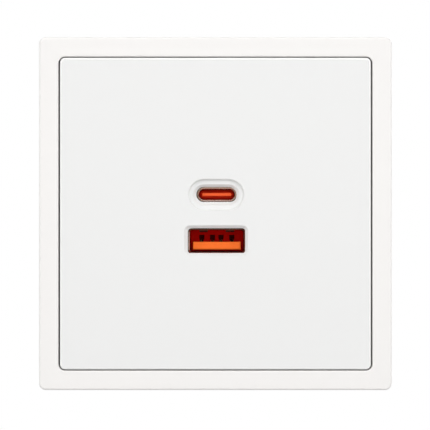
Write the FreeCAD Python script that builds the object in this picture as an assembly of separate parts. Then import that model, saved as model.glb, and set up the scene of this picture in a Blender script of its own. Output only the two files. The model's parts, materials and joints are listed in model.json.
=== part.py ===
import FreeCAD, Part
import math
import os

# USB wall socket for a round 60 mm wall box, with one USB-C port above one USB-A port.
# X runs to the right, Z up and Y into the wall, so the front faces -Y.
# The origin is the middle of the socket on the wall's surface, where the support ring rests.
# Every length is in millimetres and every angle in degrees.

# Clearances
FIT_GAP = 0.1          # between pieces that slide together when assembled
LOOSE_GAP = 0.3        # between a housing and the opening it passes
PIVOT_GAP = 0.05       # around rivets, pins and leads
SLOT_END = 0.999       # a slot's end radius, as a share of half its height

# Cover frame
FRAME_BORDER = 4.5     # from the opening to the frame's outer side
FRAME_CORNER = 1.6
FRAME_PROUD = 9.0      # from the wall to the frame's face
FRAME_ROUND = 0.5
FRAME_FACE_T = 1.8
FRAME_OUTER_WALL = 1.5
FRAME_INNER_WALL = 1.2
FRAME_BACK_GAP = 0.2   # between the frame's back edge and the wall
OPENING_CORNER = 1.5
OPENING_ROUND = 0.3
LEDGE_T = 1.5
LEDGE_REACH = 3.0      # inwards from the opening
FRAME_RIB_T = 1.0
FRAME_RIBS_PER_SIDE = 5

# Centre plate
PLATE_SIDE_GAP = 0.37  # between plate and frame, at the left and right
PLATE_TOP_GAP = 0.26   # above and below the plate
PLATE_PROUD = 0.4      # in front of the frame's face
PLATE_CORNER = 1.2
PLATE_ROUND = 0.4
PLATE_T = 2.0
SKIRT_T = 1.6
PLATE_RIB_T = 0.8
PLATE_RIB_DEPTH = 1.2
PLATE_RIB_INSET = 7.7  # from the plate's side to its rear ribs
SNAP_LEG_T = 1.5
SNAP_LEG_WIDTH = 6.0
SNAP_LEG_OFFSET = 10.0
SNAP_TIP_GAP = 0.6     # between a leg's end and the ring
SNAP_HOOK_DEPTH = 1.0
SNAP_HOOK_LENGTH = 2.0

# Support ring of bent steel sheet
RING_T = 1.2
RING_INSET = 0.5       # from the frame's opening to the ring's edge
RING_CORNER_CUT = 5.0
RING_STEP = 0.4        # how far the ring's pressed middle stands off the wall
STEP_CORNER = 12.0
STEP_MARGIN_X = 0.9    # from the claw screws' heads to the step
STEP_MARGIN_Z = 1.1    # from the assembly bosses to the step
BOX_SCREW_SPACE = 8.0  # from the housing to the wall box's screws
RING_MARGIN = 3.6      # from the box screw slots to the ring's edge
BOX_SLOT_WIDTH = 3.8
BOX_SLOT_HALF_ANGLE = 10.0
WALL_HOLE_INSET = 7.5  # from the ring's edge
WALL_HOLE_R = 1.8
NOTCH_WIDTH = 2.0
NOTCH_DEPTH = 1.0
LUG_WIDTH = 3.3
PIVOT_DEPTH = 2.6      # from the wall's surface to the claws' pivots
SCREW_STRIP = 0.7      # metal left between the lug window and the claw screw's hole

# Housing
HOUSING_CHAMFER = 6.0
HOUSING_WALL = 1.6
CAP_GAP = 0.4          # between the centre plate and the front housing
HOUSING_SPLIT = 1.0
LIP_T = 0.9
LIP_LENGTH = 1.6
LIP_ROOT = 1.5
CAP_CHAMFER = 0.4      # along the front housing's front edges
CUP_CHAMFER = 0.8      # along the rear housing's rear edges
EAR_T = 1.4
EAR_MARGIN = 0.4
FASTENER_OFFSET = 10.0
BOSS_R = 2.2
BOSS_LENGTH = 8.0
EAR_BOSS_LENGTH = 4.4
POST_R = 2.0
POST_PIN_R = 0.8
POST_PIN_LENGTH = 1.0
POST_INSET = 2.9       # from the housing's inner walls to a post's side
FLOOR_POST_R = 1.6
HOUSING_RIBS = 3       # on the rear housing's top wall, and as many on its bottom wall
HOUSING_RIB_PITCH = 4.5
HOUSING_RIB_T = 1.0
HOUSING_RIB_HEIGHT = 0.6
HOUSING_RIB_INSET = 1.5  # from the rear housing's rim and rear face to the ribs' ends
GAUGE_LENGTH = 11.0    # the stripping gauge is a groove as long as a wire's bare end
GAUGE_WIDTH = 2.4
GAUGE_DEPTH = 0.6
GAUGE_STEP = 0.3       # how much deeper the gauge's end notch is
GAUGE_SPACE = 2.0      # from the terminals to the gauge
PANEL_SPACE = 2.6      # from the gauge to the rear wall's shallow recess
PANEL_MARGIN = 4.5     # from that recess to the housing's sides
PANEL_CORNER = 2.0
PANEL_DEPTH = 0.3
GATE_R = 1.6           # the round recess where the moulding was filled, and the nub left in it
GATE_DEPTH = 0.4
GATE_NUB_R = 0.5

# Fasteners
ASSEMBLY_SCREW_R = 1.1
ASSEMBLY_HEAD_R = 2.1
ASSEMBLY_HEAD_T = 1.5
ASSEMBLY_BITE = 3.6    # thread length in the front housing
CLAW_SCREW_R = 1.5
CLAW_SCREW_HEAD_R = 2.6
CLAW_SCREW_HEAD_T = 1.9
CLAW_SCREW_LENGTH = 13.2
CLAW_HOLE_GAP = 0.2
RECESS_WIDTH = 0.9
RECESS_DEPTH = 1.1
HEAD_ROUND = 0.45      # of a screw head's height
CROSS_REACH = 0.6      # of a screw head's radius
POINT_CHAMFER = 0.4    # of a screw shank's radius
RIVET_R = 0.8
RIVET_HEAD_R = 1.2
RIVET_HEAD_T = 0.5

# Claws
CLAW_SHEET = 1.2
CLAW_INNER_HALF = 3.4  # half the space between a claw's two cheeks
CLAW_SIDE_GAP = 0.2
CLAW_BOSS_R = 1.6
CLAW_LENGTH = 17.6     # from the pivot to the end
CLAW_WEB_START = 1.0
CLAW_WEB_END = 6.5
CLAW_WEB_DEPTH = 1.0
CLAW_SPREAD = 18.0
CLAW_SLOT_GAP = 0.2
CLAW_HEEL = (1.52, 0.5)    # the arm's back edge beside the pivot, outwards and back from it
CLAW_WAIST = (1.2, 10.9)   # where the back edge starts to slant to the end
CLAW_TIP = 0.4             # the end's corner, in front of the pivot's line
CLAW_THROAT = 8.8          # from the pivot back to where the teeth's slope starts
CLAW_KNEE = (2.08, 1.4)    # the corner between the arm and the web, out and back from the web
CLAW_TOE = 0.2             # in front of the pivot's boss
TOOTH_COUNT = 3
TOOTH_PITCH = 1.9
TOOTH_DEPTH = 1.3
TOOTH_REACH = 4.9
TOOTH_CREST = 0.3          # a tooth's crest and root, as shares of the pitch
TOOTH_ROOT = 0.95

# Boards
BOARD_T = 1.6
PORT_BOARD_DEPTH = 5.0
BOARD_GAP = 2.7        # between the port board and the transformer
FLOOR_SPACE = 3.0
PART_MARGIN = 0.6      # between components, and from them to a board's edge
COLUMN_GAP = 3.55      # between the transformer and the columns beside it
HEADER_GAP = 1.8       # between the pin header and the nearest component
LEAD_R = 0.3
LEAD_LENGTH = 0.8      # a lead's end behind the board
LEAD_PITCH = {"input": 3.5, "output": 2.5, "choke": 5.0, "x": 7.5, "varistor": 5.0, "y": 5.0}

# Both ports
PORT_X = 0.18          # the openings' middle line, right of the plate's middle
PORT_SHIFT = 0.14      # the receptacles' middle line, right of the openings'
PORT_GAP = 0.15        # between a shell and the pocket or window around it

# USB-A port
USB_A_Z = -6.2         # the opening's middle
USB_A_DROP = 0.13      # from the opening's middle down to the receptacle's
USB_A_WIDTH = 12.5
USB_A_HEIGHT = 5.12
USB_A_CORNER = 0.5
USB_A_SHELL_T = 0.25
USB_A_LEAD_IN = 0.1    # how far the shell's mouth is flared
USB_A_LEAD_IN_DEPTH = 0.5
USB_A_FLANK = 0.2      # the steeper bevel along the mouth's left side
USB_A_FLANK_DEPTH = 0.17
USB_A_SIDE_GAP = 0.15  # from the shell's size to the opening's
USB_A_TOP_GAP = 0.04
USB_A_OPENING_CORNER = 0.6
USB_A_BEVEL = 0.65
USB_A_LAND = 0.25      # the straight part of the lip, behind the bevel
USB_A_SEAT_GAP = 0.1   # from the lip to the shell's front edge
USB_A_DEPTH = 9.8
USB_A_TONGUE_GAP = 0.78    # beside the tongue
USB_A_TONGUE_T = 1.73
USB_A_TONGUE_RISE = 0.65
USB_A_TONGUE_RECESS = 1.3
USB_A_TONGUE_EDGE = 0.2
USB_A_CONTACT_X = (-3.5, -1.0, 1.0, 3.5)
USB_A_CONTACT_WIDTH = 1.0
USB_A_CONTACT_T = 0.2
USB_A_CONTACT_START = 1.0  # from the tongue's front
USB_A_CHANNEL_RISE = 0.4   # from the tongue's top to the contact channels in the back wall
USB_A_CHANNEL_GAP = 0.1    # beside a contact in its channel
USB_A_CHANNEL_HEIGHT = 1.15
USB_A_CHANNEL_DEPTH = 3.0
BOW_RISE_LENGTH = 1.2
BOW_TOP_LENGTH = 0.8
BOW_FALL_LENGTH = 3.0
BOW_HEIGHT = 0.5
FINGER_X = 3.05
FINGER_WIDTH = 1.9
FINGER_START = 1.0
FINGER_NOSE = 0.25     # the turned-in front of a spring finger
FINGER_LENGTH = 5.0
FINGER_BEND = 1.5      # from a finger's front to its innermost line
FINGER_REACH = 0.5
FINGER_GAP = 0.3       # round a finger in its window

# USB-C port
USB_C_Z = 4.3          # the opening's middle
USB_C_RISE = 0.1       # from the opening's middle up to the receptacle's
USB_C_WIDTH = 8.34
USB_C_HEIGHT = 2.56
USB_C_SHELL_T = 0.35
USB_C_SHELL_ROUND = 0.14
USB_C_LEAD_IN = 0.15   # how far the shell's mouth is flared, and how deep
USB_C_SIDE_GAP = 0.15  # from the shell's size to the opening's
USB_C_TOP_GAP = 0.19
USB_C_SEAT_SIDE = 0.2  # from the shell to the hole behind the opening, at its sides
USB_C_SEAT_TOP = 0.09
USB_C_SEAT_GAP = 0.05  # from the opening's back edge to the shell's front
USB_C_DEPTH = 6.2
USB_C_TONGUE_GAP = 0.85
USB_C_TONGUE_T = 0.7
USB_C_TONGUE_CORNER = 0.2
USB_C_TONGUE_EDGE = 0.1
USB_C_TONGUE_RECESS = 0.9
USB_C_COLLAR_GAP = 0.42
USB_C_COLLAR_LENGTH = 1.75
USB_C_COLLAR_EDGE = 0.2
USB_C_CONTACTS = 12
USB_C_CONTACT_PITCH = 0.5
USB_C_CONTACT_WIDTH = 0.25
USB_C_CONTACT_T = 0.08
USB_C_CONTACT_START = 0.5  # from the tongue's front
USB_C_PLATE_T = 0.15
USB_C_PLATE_START = 0.6
DISH_WIDTH = 12.9
DISH_HEIGHT = 7.35
DISH_DEPTH = 0.8
DISH_SLOPE = 0.4
MOUTH_SLOPE = 0.6
MOUTH_DEPTH = 0.8

# Terminals
TERMINAL_SPACE = 2.6   # between the two terminals
TERMINAL_SIDE = 2.1    # from a wire entry to the terminal's side
TERMINAL_FLOOR = 1.0   # from the housing's inner wall to a terminal's underside
TERMINAL_HEIGHT = 7.4
TERMINAL_LENGTH = 14.0
TERMINAL_PROUD = 1.0   # behind the rear housing
TERMINAL_WALL = 0.8
TERMINAL_REAR_WALL = 3.0
TERMINAL_SHOULDER = 0.6
WIRE_R = 1.7
WIRE_OFFSET = 3.65     # from a terminal's middle to each wire entry
WIRE_FUNNEL = 0.5
WIRE_DEPTH_Z = 3.4     # from the terminal's underside to the wires' axis
BUTTON_WIDTH = 2.4
BUTTON_HEIGHT = 3.6
BUTTON_PROUD = 0.9
BUTTON_FOOT = 1.0
BUTTON_TRAVEL = 1.5
BUTTON_STOP_GAP = 0.2  # left between a pushed button's foot and the spring's bend
BAR_T = 0.8
BAR_WIDTH = 2.0
SPRING_T = 0.3
SPRING_WIDTH = 3.2
SPRING_START = 3.0     # from the terminal's open front to the spring's bend
SPRING_BEND_R = 0.8
SPRING_BEND_ANGLES = (90, 135, 180, 220)
LEAF_REACH = 4.2       # from the bend back to a leaf's end
WIRE_COVER = 0.55      # of a wire's radius, how far the contact bar reaches past the wires' axes
BUTTON_EDGE = 0.3

# Components
CAPACITOR_IN_R = 4.0
CAPACITOR_IN_H = 12.5
CAPACITOR_OUT_R = 3.15
CAPACITOR_OUT_H = 11.0
CRIMP_DEPTH = 0.25
CRIMP_PLACE = (2.0, 1.2)   # the crimp's start and end, in front of the board
CAN_ROUND = 0.12           # of a can's radius
CHOKE_R = 4.0
CHOKE_H = 9.0
CHOKE_POST_R = 2.0
CHOKE_FLANGE_T = 1.2
CHOKE_WIRE_R = 3.6
CORE_WIDTH = 14.0
CORE_HEIGHT = 12.0
CORE_T = 6.0
CORE_LEG = 2.0
WINDING_CORNER = 0.4   # of the winding's half width
BOBBIN_WALL = 0.6
BOBBIN_HALF = 6.2
BOBBIN_BASE_T = 1.5
BOBBIN_PINS = 4
BOBBIN_PIN_PITCH = 3.75
BOBBIN_PIN_INSET = 0.8
X_CAPACITOR = (10.0, 9.0, 4.0)
VARISTOR_R = 3.5
VARISTOR_T = 3.4
Y_CAPACITOR_R = 3.0
Y_CAPACITOR_T = 2.4
DISC_STAND = 1.0
DISC_ROUND = 0.35      # of a disc's thickness
FUSE_R = 1.8
FUSE_LENGTH = 7.4
FUSE_STAND = 0.5
OPTO = (6.5, 3.5, 4.6)
BRIDGE = (6.5, 2.4, 5.0)
SWITCH_CHIP = (5.0, 1.6, 4.0)
RECTIFIER = (4.4, 2.2, 6.0)
CONTROLLER = (5.0, 0.9, 5.0)
INDUCTOR = (6.6, 3.0, 6.6)
CHIP_LEG = (0.4, 0.25, 0.8)
HEADER_T = 2.5
PIN_COUNT = 6
PIN_PITCH = 2.54
PIN_SIDE = 0.64

# Places along Y
RING_FRONT = -RING_T
SEAT_BACK = -RING_STEP
SEAT_FRONT = SEAT_BACK - RING_T
LEDGE_FRONT = RING_FRONT - LEDGE_T
FRAME_FRONT = -FRAME_PROUD
FRAME_BACK = -FRAME_BACK_GAP
PLATE_FRONT = FRAME_FRONT - PLATE_PROUD
PLATE_BACK = PLATE_FRONT + PLATE_T
SNAP_TIP = SEAT_FRONT - SNAP_TIP_GAP
CAP_FRONT = PLATE_BACK + CAP_GAP
CAP_INSIDE = CAP_FRONT + HOUSING_WALL
PORT_BOARD_REAR = PORT_BOARD_DEPTH + BOARD_T
POWER_BOARD_FRONT = PORT_BOARD_REAR + BOARD_GAP + CORE_HEIGHT + BOBBIN_BASE_T
POWER_BOARD_REAR = POWER_BOARD_FRONT + BOARD_T
CUP_INSIDE = POWER_BOARD_REAR + FLOOR_SPACE
CUP_REAR = CUP_INSIDE + HOUSING_WALL
TERMINAL_REAR = CUP_REAR + TERMINAL_PROUD
TERMINAL_FRONT = TERMINAL_REAR - TERMINAL_LENGTH
LEAD_END = POWER_BOARD_REAR + LEAD_LENGTH
USB_A_POCKET = PLATE_FRONT + USB_A_BEVEL + USB_A_LAND
USB_A_FRONT = USB_A_POCKET + USB_A_SEAT_GAP
USB_A_BACK = USB_A_FRONT + USB_A_DEPTH
USB_C_LIP = PLATE_FRONT + DISH_DEPTH + MOUTH_DEPTH
USB_C_FRONT = USB_C_LIP + USB_C_SEAT_GAP
USB_C_BACK = USB_C_FRONT + USB_C_DEPTH

# The housing's size, from what stands side by side and one above the other in it
BOBBIN_BASE_WIDTH = CORE_WIDTH + PART_MARGIN
BOARD_INSET = HOUSING_WALL + LOOSE_GAP
HOUSING_WIDTH = 2 * (CAPACITOR_IN_R + CAPACITOR_OUT_R + COLUMN_GAP + BOARD_INSET + PART_MARGIN)
HOUSING_WIDTH += BOBBIN_BASE_WIDTH
POWER_STACK = [BAR_T, X_CAPACITOR[2], OPTO[2], 2 * BOBBIN_HALF, Y_CAPACITOR_T]
POWER_BOARD_HEIGHT = sum(POWER_STACK) + len(POWER_STACK) * PART_MARGIN + HEADER_GAP + HEADER_T
HOUSING_HEIGHT = HOUSING_WALL + TERMINAL_FLOOR + TERMINAL_HEIGHT + PART_MARGIN
HOUSING_HEIGHT += POWER_BOARD_HEIGHT + BOARD_INSET
HOUSING_X = HOUSING_WIDTH / 2
HOUSING_Z = HOUSING_HEIGHT / 2

# The ring and the covers, from the housing outwards
BOX_SCREW_RADIUS = HOUSING_Z + BOX_SCREW_SPACE
RING_HALF = BOX_SCREW_RADIUS + BOX_SLOT_WIDTH / 2 + RING_MARGIN
WALL_HOLE_HALF = RING_HALF - WALL_HOLE_INSET
OPENING_HALF = RING_HALF + RING_INSET
FRAME_HALF = OPENING_HALF + FRAME_BORDER
PLATE_X = OPENING_HALF - PLATE_SIDE_GAP
PLATE_Z = OPENING_HALF - PLATE_TOP_GAP
PIVOT_X = HOUSING_X + LOOSE_GAP + LUG_WIDTH / 2
CLAW_HOLE_R = CLAW_SCREW_R + CLAW_HOLE_GAP
CLAW_SCREW_X = HOUSING_X + LOOSE_GAP + LUG_WIDTH + SCREW_STRIP + CLAW_HOLE_R
CHEEK_OUTER = CLAW_INNER_HALF + CLAW_SHEET
LUG_INNER = CHEEK_OUTER + CLAW_SIDE_GAP
FASTENER_Z = HOUSING_Z + BOSS_R
STEP_X = CLAW_SCREW_X + CLAW_SCREW_HEAD_R + STEP_MARGIN_X
STEP_Z = FASTENER_Z + BOSS_R + STEP_MARGIN_Z
POST_X = HOUSING_X - HOUSING_WALL - POST_INSET - POST_R
POST_Z = HOUSING_Z - HOUSING_WALL - POST_INSET - POST_R
TERMINAL_HALF = WIRE_OFFSET + WIRE_R + TERMINAL_SIDE
TERMINAL_OFFSET = TERMINAL_SPACE / 2 + TERMINAL_HALF
TERMINAL_LOW = HOUSING_WALL + TERMINAL_FLOOR - HOUSING_Z
TERMINAL_TOP = TERMINAL_LOW + TERMINAL_HEIGHT
WIRE_Z = TERMINAL_LOW + WIRE_DEPTH_Z
BOARD_X = HOUSING_X - BOARD_INSET
BOARD_Z = HOUSING_Z - BOARD_INSET
POWER_BOARD_LOW = TERMINAL_TOP + PART_MARGIN
RECEPTACLE_X = PORT_X + PORT_SHIFT
USB_A_SEAT_Z = USB_A_Z - USB_A_DROP
USB_C_SEAT_Z = USB_C_Z + USB_C_RISE
USB_A_TONGUE_HALF = USB_A_WIDTH / 2 - USB_A_TONGUE_GAP
USB_A_TONGUE_TOP = USB_A_SEAT_Z - USB_A_HEIGHT / 2 + USB_A_TONGUE_RISE + USB_A_TONGUE_T
USB_C_TONGUE_HALF = USB_C_WIDTH / 2 - USB_C_TONGUE_GAP
CORNERS = [(x, z) for x in (-1, 1) for z in (-1, 1)]

# Rows and columns of the components on the power board
CONTACT_TAIL_Z = POWER_BOARD_LOW + PART_MARGIN + BAR_T / 2
LOW_POST_Z = POWER_BOARD_LOW + PART_MARGIN + POST_PIN_R
BOTTOM_ROW = CONTACT_TAIL_Z + BAR_T / 2 + PART_MARGIN + X_CAPACITOR[2] / 2
LEFT_COLUMN = -(BOARD_X - PART_MARGIN - CAPACITOR_IN_R)
RIGHT_COLUMN = BOARD_X - PART_MARGIN - CAPACITOR_OUT_R
COLUMN_SPACE = (LEFT_COLUMN + CAPACITOR_IN_R, RIGHT_COLUMN - CAPACITOR_OUT_R)
TRANSFORMER_X = sum(COLUMN_SPACE) / 2
OPTO_Z = BOTTOM_ROW + X_CAPACITOR[2] / 2 + PART_MARGIN + OPTO[2] / 2
TRANSFORMER_Z = OPTO_Z + OPTO[2] / 2 + PART_MARGIN + BOBBIN_HALF
Y_CAPACITOR_Z = TRANSFORMER_Z + BOBBIN_HALF + PART_MARGIN + Y_CAPACITOR_T / 2
X_CAPACITOR_X = COLUMN_SPACE[0] + PART_MARGIN + X_CAPACITOR[0] / 2
VARISTOR_X = X_CAPACITOR_X + X_CAPACITOR[0] / 2 + PART_MARGIN + VARISTOR_R
CHOKE_Z = LOW_POST_Z + POST_PIN_R + CHOKE_R
LEFT_POST_Z = CHOKE_Z + CHOKE_R + PART_MARGIN / 2
CAPACITOR_IN_PITCH = 2 * CAPACITOR_IN_R + PART_MARGIN
CAPACITOR_IN_Z = LEFT_POST_Z + PART_MARGIN / 2 + CAPACITOR_IN_R
FUSE_REACH = FUSE_LENGTH / 2 + PART_MARGIN
FUSE_Z = LOW_POST_Z + POST_PIN_R + PART_MARGIN + LEAD_R + FUSE_REACH
RIGHT_POST_Z = FUSE_Z + FUSE_REACH + LEAD_R + PART_MARGIN + POST_PIN_R
CAPACITOR_OUT_PITCH = 2 * CAPACITOR_OUT_R + PART_MARGIN
CAPACITOR_OUT_Z = RIGHT_POST_Z + POST_PIN_R + PART_MARGIN / 2 + CAPACITOR_OUT_R
INDUCTOR_X = TRANSFORMER_X + CORE_WIDTH / 2 + PART_MARGIN + CHIP_LEG[2] + INDUCTOR[0] / 2
BRIDGE_Z = BOTTOM_ROW + LEAD_R + PART_MARGIN + BRIDGE[2] / 2
LINK_Z = BOARD_Z - HEADER_T / 2
LINK_PINS = [(i - (PIN_COUNT - 1) / 2) * PIN_PITCH for i in range(PIN_COUNT)]


def vec(x, y, z):
    return FreeCAD.Vector(x, y, z)


def block(x, y, z):
    """A box from its (low, high) spans."""
    return Part.makeBox(x[1] - x[0], y[1] - y[0], z[1] - z[0], vec(x[0], y[0], z[0]))


def rod(x, z, r, y0, y1):
    """A cylinder along Y."""
    return Part.makeCylinder(r, y1 - y0, vec(x, y0, z), vec(0, 1, 0))


def around(middle, half):
    return (middle - half, middle + half)


def rounded_wire(half_x, half_z, corner, y, x=0.0, z=0.0):
    """A rectangle with round corners, or a slot where the corners take up its height."""
    flat_x = half_x - corner
    flat_z = half_z - corner
    edges = []
    turns = [(1, 1, 0), (-1, 1, 90), (-1, -1, 180), (1, -1, 270)]
    ends = []
    for sx, sz, start in turns:
        middle = vec(x + sx * flat_x, y, z + sz * flat_z)
        points = []
        for angle in (start, start + 45, start + 90):
            a = math.radians(angle)
            points.append(middle + vec(corner * math.cos(a), 0, corner * math.sin(a)))
        edges.append(Part.Arc(*points).toShape())
        ends.append((points[0], points[2]))
    for i in range(4):
        here = ends[i][1]
        there = ends[(i + 1) % 4][0]
        if (there - here).Length > 1e-6:
            edges.append(Part.makeLine(here, there))
    return Part.Wire(Part.__sortEdges__(edges))


def rounded_prism(half_x, half_z, corner, y0, y1, x=0.0, z=0.0):
    wire = rounded_wire(half_x, half_z, corner, y0, x, z)
    return Part.Face(wire).extrude(vec(0, y1 - y0, 0))


def rounded_funnel(front, back):
    """A solid between two rounded wires given as rounded_wire's arguments."""
    return Part.makeLoft([rounded_wire(*front), rounded_wire(*back)], True, True)


def outline_prism(points, y0, y1):
    """A prism along Y on an outline of (x, z) points."""
    corners = [vec(x, y0, z) for x, z in points]
    return Part.Face(Part.makePolygon(corners + corners[:1])).extrude(vec(0, y1 - y0, 0))


def side_prism(points, z0, z1):
    """A prism along Z on an outline of (x, y) points."""
    corners = [vec(x, y, z0) for x, y in points]
    return Part.Face(Part.makePolygon(corners + corners[:1])).extrude(vec(0, 0, z1 - z0))


def rib_prism(points, x0, x1):
    """A prism along X on an outline of (y, z) points."""
    corners = [vec(x0, y, z) for y, z in points]
    return Part.Face(Part.makePolygon(corners + corners[:1])).extrude(vec(x1 - x0, 0, 0))


def octagon(inset, y0, y1):
    """The housing's outline, moved inwards by the inset, as a prism."""
    x = HOUSING_X - inset
    z = HOUSING_Z - inset
    cut = HOUSING_CHAMFER - inset * (2 - math.sqrt(2))
    points = [(x, cut - z), (x, z - cut), (x - cut, z), (cut - x, z)]
    points += [(-px, -pz) for px, pz in points]
    return outline_prism(points, y0, y1)


def fuse(shapes):
    first, *rest = shapes
    joined = first.fuse(rest) if rest else first
    return joined.removeSplitter()


def edges_at(shape, y, test=None):
    """Edges that lie wholly at one depth and pass the test on their middle point."""
    found = []
    for edge in shape.Edges:
        box = edge.BoundBox
        if abs(box.YMin - y) < 1e-4 and abs(box.YMax - y) < 1e-4:
            if test is None or test(edge.CenterOfMass):
                found.append(edge)
    return found


def strip(points, thickness, x0, x1):
    """A bent sheet strip on a line of (y, z) points, round at its bends."""
    pieces = []
    for (ya, za), (yb, zb) in zip(points, points[1:]):
        run = vec(0, yb - ya, zb - za)
        side = vec(0, -run.z, run.y).normalize() * (thickness / 2)
        corners = [(ya + side.y, za + side.z), (yb + side.y, zb + side.z)]
        corners += [(yb - side.y, zb - side.z), (ya - side.y, za - side.z)]
        pieces.append(rib_prism(corners, x0, x1))
    for y, z in points[1:-1]:
        pieces.append(Part.makeCylinder(thickness / 2, x1 - x0, vec(x0, y, z), vec(1, 0, 0)))
    return fuse(pieces)


def screw(shank_r, length, head_r, head_t):
    """A pan-head screw along +Y from its head's underside at the origin, with a cross and slot."""
    head = rod(0, 0, head_r, -head_t, 0)
    head = head.makeFillet(head_t * HEAD_ROUND, edges_at(head, -head_t))
    shank = rod(0, 0, shank_r, 0, length)
    shank = shank.makeChamfer(shank_r * POINT_CHAMFER, edges_at(shank, length))
    depth = (-head_t, RECESS_DEPTH - head_t)
    half = RECESS_WIDTH / 2
    slot = block(around(0, head_r), depth, around(0, half))
    cross = block(around(0, half), depth, around(0, head_r * CROSS_REACH))
    return fuse([head, shank]).cut(fuse([slot, cross]))


def placed(shape, x, y, z, turn=0.0):
    """A copy turned about Z at the origin and then moved."""
    copy = shape.copy()
    copy.rotate(vec(0, 0, 0), vec(0, 0, 1), turn)
    copy.translate(vec(x, y, z))
    return copy


def lead_holes(points, r):
    """Board holes for round leads."""
    return [rod(x, z, r + PIVOT_GAP, POWER_BOARD_FRONT, POWER_BOARD_REAR) for x, z in points]


def leads(points, start):
    return [rod(x, z, LEAD_R, start, LEAD_END) for x, z in points]


# Covers
def cover_frame():
    shape = rounded_prism(FRAME_HALF, FRAME_HALF, FRAME_CORNER, FRAME_FRONT, FRAME_BACK)
    shape = shape.makeFillet(FRAME_ROUND, edges_at(shape, FRAME_FRONT))
    opening = rounded_prism(OPENING_HALF, OPENING_HALF, OPENING_CORNER, FRAME_FRONT, LEDGE_FRONT)
    window = OPENING_HALF - LEDGE_REACH
    opening = opening.fuse(block(around(0, window), (LEDGE_FRONT, FRAME_BACK), around(0, window)))
    ring_seat = RING_HALF + LOOSE_GAP
    seat = block(around(0, ring_seat), (RING_FRONT, FRAME_BACK), around(0, ring_seat))
    shape = shape.cut(opening.fuse(seat))
    inside = lambda point: max(abs(point.x), abs(point.z)) < OPENING_HALF + FRAME_ROUND
    shape = shape.makeFillet(OPENING_ROUND, edges_at(shape, FRAME_FRONT, inside))
    return shape.cut(frame_channel()).removeSplitter()


def frame_channel():
    """The hollow at the frame's back, with cross ribs left standing in it."""
    outer = FRAME_HALF - FRAME_OUTER_WALL
    inner = OPENING_HALF + FRAME_INNER_WALL
    depth = (FRAME_FRONT + FRAME_FACE_T, FRAME_BACK)
    channel = block(around(0, outer), depth, around(0, outer))
    channel = channel.cut(block(around(0, inner), depth, around(0, inner)))
    ribs = []
    for i in range(FRAME_RIBS_PER_SIDE):
        middle = (i - (FRAME_RIBS_PER_SIDE - 1) / 2) * 2 * outer / FRAME_RIBS_PER_SIDE
        across = around(0, outer)
        along = around(middle, FRAME_RIB_T / 2)
        ribs.append(block(across, depth, along))
        ribs.append(block(along, depth, across))
    return channel.cut(ribs)


def centre_plate():
    shape = rounded_prism(PLATE_X, PLATE_Z, PLATE_CORNER, PLATE_FRONT, LEDGE_FRONT)
    shape = shape.makeFillet(PLATE_ROUND, edges_at(shape, PLATE_FRONT))
    inner_x = around(0, PLATE_X - SKIRT_T)
    inner_z = around(0, PLATE_Z - SKIRT_T)
    shape = shape.cut(block(inner_x, (PLATE_BACK, LEDGE_FRONT), inner_z))
    depth = (PLATE_BACK, PLATE_BACK + PLATE_RIB_DEPTH)
    added = []
    for side in (-1, 1):
        upright = around(side * (PLATE_X - PLATE_RIB_INSET), PLATE_RIB_T / 2)
        added.append(block(upright, depth, inner_z))
        level = around(side * (PLATE_Z - PLATE_RIB_INSET), PLATE_RIB_T / 2)
        added.append(block(inner_x, depth, level))
    for sx, sz in CORNERS:
        added.append(snap_leg(sx, sz * SNAP_LEG_OFFSET))
    shape = fuse([shape] + added)
    return shape.cut(usb_a_mouth()).cut(usb_c_mouth()).removeSplitter()


def snap_leg(side, z):
    """A leg along the front housing's side, with a barbed hook into its window."""
    inner = HOUSING_X + LOOSE_GAP
    outer = inner + SNAP_LEG_T
    tip = SNAP_TIP
    catch = tip - SNAP_HOOK_LENGTH
    nose = inner - LOOSE_GAP - SNAP_HOOK_DEPTH
    points = [(outer, PLATE_BACK), (outer, tip), (inner, tip), (nose, catch + LOOSE_GAP)]
    points += [(nose, catch), (inner, catch), (inner, PLATE_BACK)]
    return side_prism([(side * x, y) for x, y in points], *around(z, SNAP_LEG_WIDTH / 2))


def usb_a_hole(grow, y0, y1):
    """The USB-A shell's outline, grown on every side, as a prism."""
    half_x = USB_A_WIDTH / 2 + USB_A_SHELL_T + grow
    half_z = USB_A_HEIGHT / 2 + USB_A_SHELL_T + grow
    corner = USB_A_CORNER + USB_A_SHELL_T + grow
    return rounded_prism(half_x, half_z, corner, y0, y1, RECEPTACLE_X, USB_A_SEAT_Z)


def usb_a_mouth():
    """The USB-A opening in the plate: a bevelled lip, and the shell's pocket behind it."""
    half_x = USB_A_WIDTH / 2 + USB_A_SHELL_T + USB_A_SIDE_GAP
    half_z = USB_A_HEIGHT / 2 + USB_A_SHELL_T + USB_A_TOP_GAP
    corner = USB_A_OPENING_CORNER
    place = (PORT_X, USB_A_Z)
    bevel_back = PLATE_FRONT + USB_A_BEVEL
    wide = (half_x + USB_A_BEVEL, half_z + USB_A_BEVEL, corner + USB_A_BEVEL)
    bevel = rounded_funnel((*wide, PLATE_FRONT, *place), (half_x, half_z, corner, bevel_back, *place))
    land = rounded_prism(half_x, half_z, corner, bevel_back, USB_A_POCKET, *place)
    return usb_a_hole(PORT_GAP, USB_A_POCKET, PLATE_BACK).fuse([bevel, land])


def usb_c_hole(grow, y0, y1):
    """The USB-C shell's outline, grown on every side, as a prism."""
    half_z = USB_C_HEIGHT / 2 + USB_C_SHELL_T + grow
    half_x = USB_C_WIDTH / 2 + USB_C_SHELL_T + grow
    return rounded_prism(half_x, half_z, half_z * SLOT_END, y0, y1, RECEPTACLE_X, USB_C_SEAT_Z)


def slot_wire(half_x, half_z, y):
    return (half_x, half_z, half_z * SLOT_END, y, PORT_X, USB_C_Z)


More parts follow.
